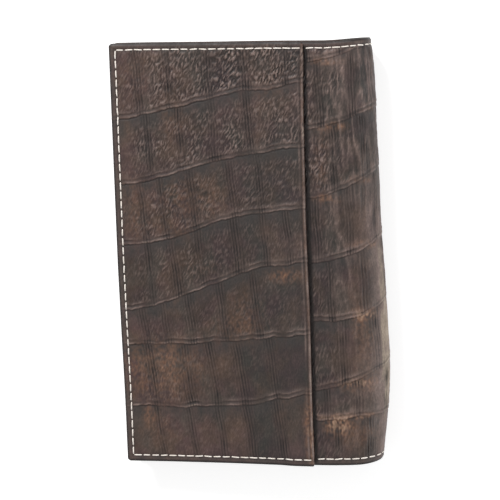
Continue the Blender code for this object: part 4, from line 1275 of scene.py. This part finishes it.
def tooth_points():
    """One tooth: a rounded block clamped over the tape's bead, with a waist and a rounded head that swells a
    little.
    """
    tooth = bmesh.new()
    length = TOOTH_ROOT + TOOTH_OVERLAP
    bmesh.ops.create_cube(tooth, size=1)
    bmesh.ops.scale(tooth, vec=(length, TOOTH_WIDTH, TOOTH_HEIGHT), verts=tooth.verts)
    bmesh.ops.translate(tooth, vec=((TOOTH_ROOT - TOOTH_OVERLAP) / 2, 0, 0), verts=tooth.verts)
    bmesh.ops.bevel(tooth, geom=tooth.edges[:], offset=TOOTH_ROUND, segments=3, profile=0.6, affect="EDGES")
    across_edges = [edge for edge in tooth.edges if abs(edge.verts[0].co.x - edge.verts[1].co.x) > length / 2]
    bmesh.ops.subdivide_edges(tooth, edges=across_edges, cuts=6, use_grid_fill=True)
    for vertex in tooth.verts:
        from_tip = vertex.co.x + TOOTH_OVERLAP
        waist = bell(from_tip - 1.0, 0.32)
        vertex.co.z *= 1 - 0.22 * waist
        vertex.co.y *= 1 - 0.12 * waist
        vertex.co.z *= 1 + 0.02 * bell(from_tip - 0.35, 0.2)
    points = np.array([vertex.co[:] for vertex in tooth.verts])
    faces = [[vertex.index for vertex in face.verts] for face in tooth.faces]
    tooth.free()
    # The cuts leave the faces in an order that varies, so each is turned to start at its lowest
    # corner and they are sorted
    turned_faces = [face[face.index(min(face)):] + face[:face.index(min(face))] for face in faces]
    return points, sorted(turned_faces)


def tape_section():
    """One tape cut across, on the fold's side: a bead along its inner edge, then its ribbed web."""
    bead = [(TAPE_EDGE + 0.05 + BEAD_RADIUS * (1 - math.cos(at)), BEAD_RADIUS * math.sin(at))
            for at in np.linspace(-0.75 * math.pi, 0.75 * math.pi, 12)]
    rib_places = np.linspace(TAPE_EDGE + 2.2 * BEAD_RADIUS, tape_reach, 24)
    over = [(x, TAPE_THICKNESS / 2 - TAPE_RIB * (number % 2)) for number, x in enumerate(rib_places)]
    return np.array(bead + over + [(x, -z) for x, z in reversed(over)])


def tape_body(section, along, side):
    """The points, faces and flat places of a length of tape, with its two ends closed."""
    spread = spread_at(along)[:, None] * (1 - ramp(section[:, 0], TAPE_EDGE + 3, tape_reach))[None, :]
    x = zip_x + side * (section[None, :, 0] + spread)
    points = settled(*np.broadcast_arrays(x, along[:, None], tape_z + section[None, :, 1]))
    width = len(section)
    start = np.arange(len(along) - 1)[:, None] * width
    here, there = start + np.arange(width), start + np.roll(np.arange(width), -1)
    faces = np.stack((here, there, there + width, here + width), -1).reshape(-1, 4).tolist()
    faces += [list(range(width)), [(len(along) - 1) * width + corner for corner in range(width)]]
    round_tape = section[None, :, 0] + 2 * section[None, :, 1]
    flat = np.stack(np.broadcast_arrays(round_tape, along[:, None]), -1)
    return points.reshape(-1, 3), faces, flat.reshape(-1, 2)


brass = antique_brass()
tape_material = tape_twill()
shape, shape_faces = tooth_points()
section = tape_section()
upper_rows = np.concatenate((spaced(parting, slider_y - 3, 1.5), spaced(slider_y - 2.6, slider_y + 3, 0.4),
                             spaced(slider_y + 3.4, chain_high[1], 0.7)))
foot_rows = spaced(chain_low[1], parting, 1.5)
halves = (("fold_side", 1, TOOTH_WIDTH), ("edge_side", -1, TOOTH_WIDTH + TOOTH_PITCH / 2))
for side_name, side, first in halves:
    count = int((zip_top - TOOTH_WIDTH / 2 - zip_bottom - first) / TOOTH_PITCH) + 1
    places = zip_bottom + first + TOOTH_PITCH * np.arange(count)
    for name, at in ((f"zip_teeth_{side_name}", places[places > parting]),
                     (f"zip_foot_teeth_{side_name}", places[places <= parting])):
        points = [shape * (side, 1, 1) + (zip_x + side * spread_at(along), along, tape_z) for along in at]
        faces = [[corner + number * len(shape) for corner in face]
                 for number in range(len(at)) for face in shape_faces]
        teeth = add_object(name, np.concatenate(points), faces, sharp=50)
        teeth.data.materials.append(brass)
        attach(teeth, "back_cover")
        if at[0] > parting:
            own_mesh(teeth)

    for name, along in ((f"zip_tape_{side_name}", upper_rows), (f"zip_foot_tape_{side_name}", foot_rows)):
        tape = add_object(name, *tape_body(section, along, side))
        tape.data.materials.append(tape_material)
        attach(tape, "back_cover")
        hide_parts(f"zip_chain_{side_name}")
        if along[0] >= parting:
            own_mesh(tape)

# The zip's stops, slider and pull: stamped and cast brass, tumbled so that every edge is soft. They
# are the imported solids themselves, with their edges rounded and the brass put on.

METAL_EDGE = 0.14

for name in ("zip_top_stop_fold_side", "zip_top_stop_edge_side", "zip_bottom_stop", "zip_slider_body",
             "zip_pull_tab"):
    solid = bpy.data.objects[name]
    solid.data.materials.clear()
    solid.data.materials.append(brass)
    rounding = solid.modifiers.new("soft_edges", "BEVEL")
    rounding.width = METAL_EDGE * MM
    rounding.segments = 2
    rounding.limit_method = "ANGLE"
    rounding.angle_limit = math.radians(35)
    rounding.harden_normals = False

# The card side: a base of the smooth leather over the lining, with four card pockets stepped down
# it. Each pocket's mouth is turned and creased, and its ends are caught in the side seams.

BASE_FROM_FOLD = 3.0
POCKETS_FROM_FOLD = 4.0
LAYER_STEP = 1.0
CARD_THICKNESS = 0.95
CARD_STEP = 0.9
CREASE_BELOW = 1.9
SIDE_SEAM = 2.0

base_depth = lining_depth + CLEARANCE + INSIDE_THICKNESS
card_boxes = [box_of(f"card_pocket_{number}") for number in range(1, 5)]
first_end = card_boxes[0][0][1]
last_foot = card_boxes[3][0][1]
feet = [card_boxes[number][0][1] for number in range(3)]


def card_depth(number, along):
    """How deep one card pocket's face lies, or the base's for number 0."""
    level = base_depth + LAYER_STEP * number
    if number < 2:
        return np.full(np.shape(along), level)
    slope_end = feet[number - 1] if number < 4 else feet[2] - (feet[1] - feet[2])
    return np.interp(along, (slope_end, first_end), (base_depth + LAYER_STEP, level))


def card_side_place(across, along, depth):
    """Points of the card side, by how deep they lie under the front cover's outer face."""
    return front_place(across, along, -np.asarray(depth))


def inside_place(number):
    """A place function for the face of the base or of one card pocket."""
    def place(across, along, out):
        return card_side_place(across, along, card_depth(number, along) + np.asarray(out))
    return place


def card_fields(across, along, mouth):
    """A turned mouth with a creased line under it, a worn lip, and sunk side seams."""
    across, along = np.meshgrid(across, along, indexing="ij")
    below = mouth - along
    side = np.minimum(across, cover_width - POCKETS_FROM_FOLD - across)
    relief = 0.10 * hills(across / 20, along / 12, int(mouth)) - 0.16 * bell(below - CREASE_BELOW, 0.4)
    relief = relief - 0.25 * (1 - ramp(below, 0, 0.9)) - 0.08 * bell(side - SIDE_SEAM, 0.6)
    return {
        "relief": relief,
        "light": 0.9 * bell(below - 0.4, 0.45) * (0.8 + 0.5 * hills(across / 9, 0.5, int(mouth))),
        "dark": 0.55 * bell(below - CREASE_BELOW, 0.35) + 0.9 * (1 - ramp(across, 0.1, 0.5)),
    }


card_leathers = [("card_side_base", "card_panel_base", 0, -half_height, half_height, BASE_FROM_FOLD,
                  base_depth - lining_depth)]
for number, (low_corner, high_corner) in enumerate(card_boxes, 1):
    card_leathers.append((f"card_pocket_{number}_leather", f"card_pocket_{number}", number,
                          low_corner[1], high_corner[1], POCKETS_FROM_FOLD, CARD_THICKNESS))
for name, node, number, foot, mouth, from_fold, thickness in card_leathers:
    columns = spaced(0, cover_width - from_fold, CARD_STEP)
    rows = np.concatenate((spaced(foot, mouth - 3, CARD_STEP)[:-1], spaced(mouth - 3, mouth, 0.3)))
    piece = add_skin(name, inside_place(number), columns, rows, card_fields(columns, rows, mouth),
                     thickness - HAIRLINE, (True, True, True, True),
                     radius=CORNER_RADIUS if number == 0 else 0.01)
    piece.data.materials.append(calf)
    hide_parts(node)
    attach(piece, "front_cover")

# The window pocket: a frame of the smooth leather with a thumb notch in its top bar, over a sheet of
# clear vinyl that has taken on a slight wave. Both are sewn to the base along three sides.

WINDOW_WIDTH = 76.0
WINDOW_HEIGHT = 53.0
WINDOW_CORNER = 3.0
NOTCH_RADIUS = 6.0
FRAME_THICKNESS = 0.7
FILM_THICKNESS = 0.3
FRAME_STEPS = 12
FRAME_STEP = 1.0
WINDOW_SEAM = 1.6
# The frame's foot stops short of the cover's seam, which runs just below it
FRAME_CLEAR = 0.9
# How much wider than the notch the vinyl is cut out
NOTCH_SPARE = 0.8
FILM_INSET = 3.0
FILM_STEP = 1.5
VINYL_SEED = 121

frame_low, frame_high = box_of("id_window_frame")
window_middle = ((cover_width - POCKETS_FROM_FOLD) / 2, (frame_low[1] + frame_high[1]) / 2)
frame_low[1] += FRAME_CLEAR
film_low, film_high = box_of("id_window_film")
frame_right = cover_width - POCKETS_FROM_FOLD
film_top = base_depth + CLEARANCE + FILM_THICKNESS
frame_top = film_top + CLEARANCE + FRAME_THICKNESS


def outer_edge(across, along):
    """How far a place is from the window frame's outer edge."""
    side = np.minimum(across, frame_right - across)
    ends = np.minimum(along - frame_low[1], frame_high[1] - along)
    notch = np.hypot(across - window_middle[0], along - frame_high[1]) - NOTCH_RADIUS
    return np.minimum(np.minimum(side, ends), notch)


def window_edge(across, along):
    """How far a place is from the window's edge."""
    beside = np.clip(abs(across - window_middle[0]) - WINDOW_WIDTH / 2, 0, None)
    beyond = np.clip(abs(along - window_middle[1]) - WINDOW_HEIGHT / 2, 0, None)
    return np.hypot(beside, beyond)


def notched(outline):
    """The frame's outline with the thumb notch scooped out of its top edge."""
    points, outs = outline
    from_middle = points[:, 0] - window_middle[0]
    scoop = np.sqrt(np.clip(NOTCH_RADIUS ** 2 - from_middle ** 2, 0, None))
    on_top = points[:, 1] > frame_high[1] - 0.01
    points[:, 1] -= scoop * on_top
    return points, outs


def frame_face(across, along):
    """The depth of the frame's face, with its edges rounded and its seams sunk."""
    from_window = window_edge(across, along)
    edge = np.minimum(outer_edge(across, along), from_window)
    depth = frame_top - 0.22 * (1 - ramp(edge, 0, 0.7)) - 0.1 * bell(from_window - WINDOW_SEAM, 0.4)
    return depth - 0.1 * bell(np.minimum(across, frame_right - across) - SIDE_SEAM, 0.5)


def frame_back(across, along):
    """The depth of the frame's back, which lies on the vinyl."""
    return np.full(np.broadcast(across, along).shape, film_top + HAIRLINE)


def frame_light(across, along):
    """Where the frame is rubbed light: along the window and along its own edge."""
    light = 0.8 * bell(window_edge(across, along) - 0.4, 0.4)
    return light + 0.6 * bell(outer_edge(across, along) - 0.5, 0.4)


def frame_dark(across, along):
    """Where it is dark: in the seam round the window."""
    return 0.5 * bell(window_edge(across, along) - WINDOW_SEAM, 0.35)


per_x = round(frame_right / FRAME_STEP)
per_y = round((frame_high[1] - frame_low[1]) / FRAME_STEP)
outer = notched(rounded_loop(0, frame_right, frame_low[1], frame_high[1], CORNER_RADIUS, per_x, per_y))
hole = rounded_loop(window_middle[0] - WINDOW_WIDTH / 2, window_middle[0] + WINDOW_WIDTH / 2,
                    window_middle[1] - WINDOW_HEIGHT / 2, window_middle[1] + WINDOW_HEIGHT / 2,
                    WINDOW_CORNER, per_x, per_y)
window = add_frame("id_window_leather", card_side_place, outer, hole, frame_face, frame_back, FRAME_STEPS,
                   {"light": frame_light, "dark": frame_dark})
window.data.materials.append(calf)
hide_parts("id_window_frame")
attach(window, "front_cover")


def clear_vinyl():
    """Clear soft vinyl, faintly hazy, and dulled where cards have scratched it."""
    material, tree, shader = new_material("clear_vinyl")
    where = flat_place(tree)
    haze = grain(tree, where, 70, 4.0, 0.6)
    scratch = grain(tree, where, 900, 2.0, 0.5, (0.06, 1, 1))
    dull = combined(tree, "ADD", scaled(tree, haze, 0.15), scaled(tree, scratch, 1.2, -0.6))
    connect(tree, shader, {"Base Color": (0.36, 0.37, 0.36, 1), "Roughness": dull, "Alpha": 0.1,
                           "Specular IOR Level": 1.0})
    return material


def film_place(across, along, out):
    """Points on the vinyl, whose top edge is cut round the thumb notch."""
    from_notch = across - window_middle[0]
    cut = np.sqrt(np.clip((NOTCH_RADIUS + NOTCH_SPARE) ** 2 - from_notch ** 2, 0, None))
    top = np.minimum(film_high[1], frame_high[1] - cut)
    share = (along - film_low[1]) / (film_high[1] - film_low[1])
    return card_side_place(across, film_low[1] + share * (top - film_low[1]), film_top + np.asarray(out))


columns = spaced(FILM_INSET, frame_right - FILM_INSET, FILM_STEP)
rows = spaced(film_low[1], film_high[1], FILM_STEP)
across, along = np.meshgrid(columns, rows, indexing="ij")
wave = 0.10 * hills(across / 24, along / 18, VINYL_SEED) * ramp(window_edge(across, along), 0.5, 0)
film = add_skin("window_vinyl", film_place, columns, rows, {"relief": wave}, FILM_THICKNESS,
                (False, False, False, False), radius=0)
film.data.materials.append(clear_vinyl())
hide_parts("id_window_film")
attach(film, "front_cover")

# The seams inside: the same cream thread comes through along the covers' edges, and a finer one
# holds the zip, the window and the fold side of the card pockets.

FINE_PITCH = 2.7
FINE_LENGTH = 2.2
FINE_RADIUS = 0.22


def panel_seam_level(x, along):
    """How high the thread lies on the zip pocket's panel."""
    return panel_top(x, along) - 0.02


def card_side_level(across, along):
    """How deep the upmost face of the card side lies, at a place along it."""
    across, along = np.broadcast_arrays(across, along)
    depth = np.full(across.shape, base_depth)
    for number in range(1, 5):
        inside = (along < card_boxes[number - 1][1][1]) & (along > card_boxes[number - 1][0][1])
        depth = np.where(inside, np.maximum(depth, card_depth(number, along)), depth)
    on_frame = (along < frame_high[1]) & (along > frame_low[1])
    return np.where(on_frame, frame_top, depth)


fine_thread = {"pitch": FINE_PITCH, "length": FINE_LENGTH, "radius": FINE_RADIUS}

free_x, fold_x = panel_low[0] + SEAM_INSET, panel_high[0] - SEAM_INSET
zip_seam = add_seam("zip_pocket_stitches", [
    (settled, panel_seam_level, (free_x, top_line), (free_x, -top_line)),
    (settled, panel_seam_level, (free_x, top_line), (fold_x, top_line)),
    (settled, panel_seam_level, (free_x, -top_line), (fold_x, -top_line)),
    (settled, panel_seam_level, (fold_x, top_line), (fold_x, -top_line)),
])
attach(zip_seam, "back_cover")

seam_x, seam_y = SLOT_HALF_WIDTH + SLOT_SEAM, slot_half_length + SLOT_SEAM
slot_seam = add_seam("zip_slot_stitches", [
    (settled, panel_seam_level, (zip_x - seam_x, seam_y), (zip_x - seam_x, -seam_y)),
    (settled, panel_seam_level, (zip_x + seam_x, seam_y), (zip_x + seam_x, -seam_y)),
    (settled, panel_seam_level, (zip_x - seam_x, seam_y), (zip_x + seam_x, seam_y)),
    (settled, panel_seam_level, (zip_x - seam_x, -seam_y), (zip_x + seam_x, -seam_y)),
], **fine_thread)
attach(slot_seam, "back_cover")

base_end = cover_width - BASE_FROM_FOLD - 1
card_seam = add_seam("card_side_stitches", [
    (card_side_place, card_side_level, (SEAM_INSET, top_line), (SEAM_INSET, -top_line)),
    (card_side_place, card_side_level, (SEAM_INSET, top_line), (base_end, top_line)),
    (card_side_place, card_side_level, (SEAM_INSET, -top_line), (base_end, -top_line)),
])
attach(card_seam, "front_cover")

side_line, seam_start = frame_right - SIDE_SEAM, SEAM_INSET + 1.5
frame_foot, pocket_foot = frame_low[1] + SIDE_SEAM, last_foot + SIDE_SEAM
pocket_seams = add_seam("card_pocket_stitches", [
    (card_side_place, card_side_level, (side_line, card_boxes[0][1][1] - 1.2), (side_line, frame_foot)),
    (card_side_place, card_side_level, (seam_start, frame_foot), (side_line, frame_foot)),
    (card_side_place, card_side_level, (seam_start, pocket_foot), (side_line, pocket_foot)),
], **fine_thread)
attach(pocket_seams, "front_cover")

# The studio: a white floor that keeps the wallet's shadow, a large soft lamp above the upper left,
# a weaker one low on the right that grazes the spine, and the camera of the photograph.

FLOOR_SIZE = 4.0
FLOOR_GAP = 0.0004
CAMERA_PLACE = (0.0583, 0.1051, 0.8158)
CAMERA_AHEAD = (-0.0653, -0.1286, -0.9895)
CAMERA_UP = (0.0247, 0.9912, -0.1304)
CAMERA_LENS = 144
CAMERA_SENSOR = 36
FLOOR_GLOW = 0.6
WORLD_LIGHT = 0.35


def seen_white(tree):
    """1 for rays from the camera, a mirror or glass, which see the studio as white."""
    path = add_node(tree, "LightPath").outputs
    seen = combined(tree, "MAXIMUM", path["Is Camera Ray"], path["Is Glossy Ray"])
    return combined(tree, "MAXIMUM", seen, path["Is Transmission Ray"])


mesh = bpy.data.meshes.new("floor")
half = FLOOR_SIZE / 2
mesh.from_pydata([(-half, -half, -FLOOR_GAP), (half, -half, -FLOOR_GAP), (half, half, -FLOOR_GAP),
                  (-half, half, -FLOOR_GAP)], [], [(0, 1, 2, 3)])
floor = bpy.data.objects.new("floor", mesh)
bpy.context.scene.collection.objects.link(floor)
floor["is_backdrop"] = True
material, tree, shader = new_material("white_floor")
connect(tree, shader, {"Base Color": (0.8, 0.8, 0.8, 1), "Roughness": 1.0, "Specular IOR Level": 0.0})
glow = add_node(tree, "Emission", {"Strength": scaled(tree, seen_white(tree), FLOOR_GLOW)})
both = add_node(tree, "AddShader", {0: shader.outputs[0], 1: glow.outputs[0]})
tree.links.new(both.outputs[0], tree.nodes["Material Output"].inputs["Surface"])
mesh.materials.append(material)

world = bpy.data.worlds.new("studio")
bpy.context.scene.world = world
world.use_nodes = True
tree = world.node_tree
tree.nodes.clear()
dim = add_node(tree, "Background", {"Color": (1, 1, 1, 1), "Strength": WORLD_LIGHT})
bright = add_node(tree, "Background", {"Color": (1, 1, 1, 1), "Strength": 1.0})
both = add_node(tree, "MixShader", {0: seen_white(tree), 1: dim.outputs[0], 2: bright.outputs[0]})
out = tree.nodes.new("ShaderNodeOutputWorld")
tree.links.new(both.outputs[0], out.inputs["Surface"])


def add_lamp(name, place, aim, size, power):
    """A square soft lamp."""
    light = bpy.data.lights.new(name, "AREA")
    light.shape = "SQUARE"
    light.size = size
    light.energy = power
    lamp = bpy.data.objects.new(name, light)
    lamp.location = place
    lamp.rotation_euler = (Vector(aim) - Vector(place)).to_track_quat("-Z", "Y").to_euler()
    bpy.context.scene.collection.objects.link(lamp)
    return lamp


add_lamp("upper_left_lamp", (-0.5, 0.95, 0.75), (0, 0, 0), 0.35, 17.0)
add_lamp("right_lamp", (0.9, -0.25, 0.45), (0, 0, 0), 0.5, 4.5)

camera = bpy.data.objects.new("camera", bpy.data.cameras.new("camera"))
bpy.context.scene.collection.objects.link(camera)
camera.data.lens = CAMERA_LENS
camera.data.sensor_width = CAMERA_SENSOR
camera.data.clip_start = 0.01
ahead = Vector(CAMERA_AHEAD).normalized()
right = ahead.cross(Vector(CAMERA_UP)).normalized()
up = right.cross(ahead)
turned = Matrix((right, up, -ahead)).transposed().to_4x4()
camera.matrix_world = Matrix.Translation(Vector(CAMERA_PLACE)) @ turned
bpy.context.scene.camera = camera
bpy.context.scene.view_settings.view_transform = "Standard"

low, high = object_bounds()
{"cad": [list(corner) for corner in cad_bounds], "visual": [list(low), list(high)]}
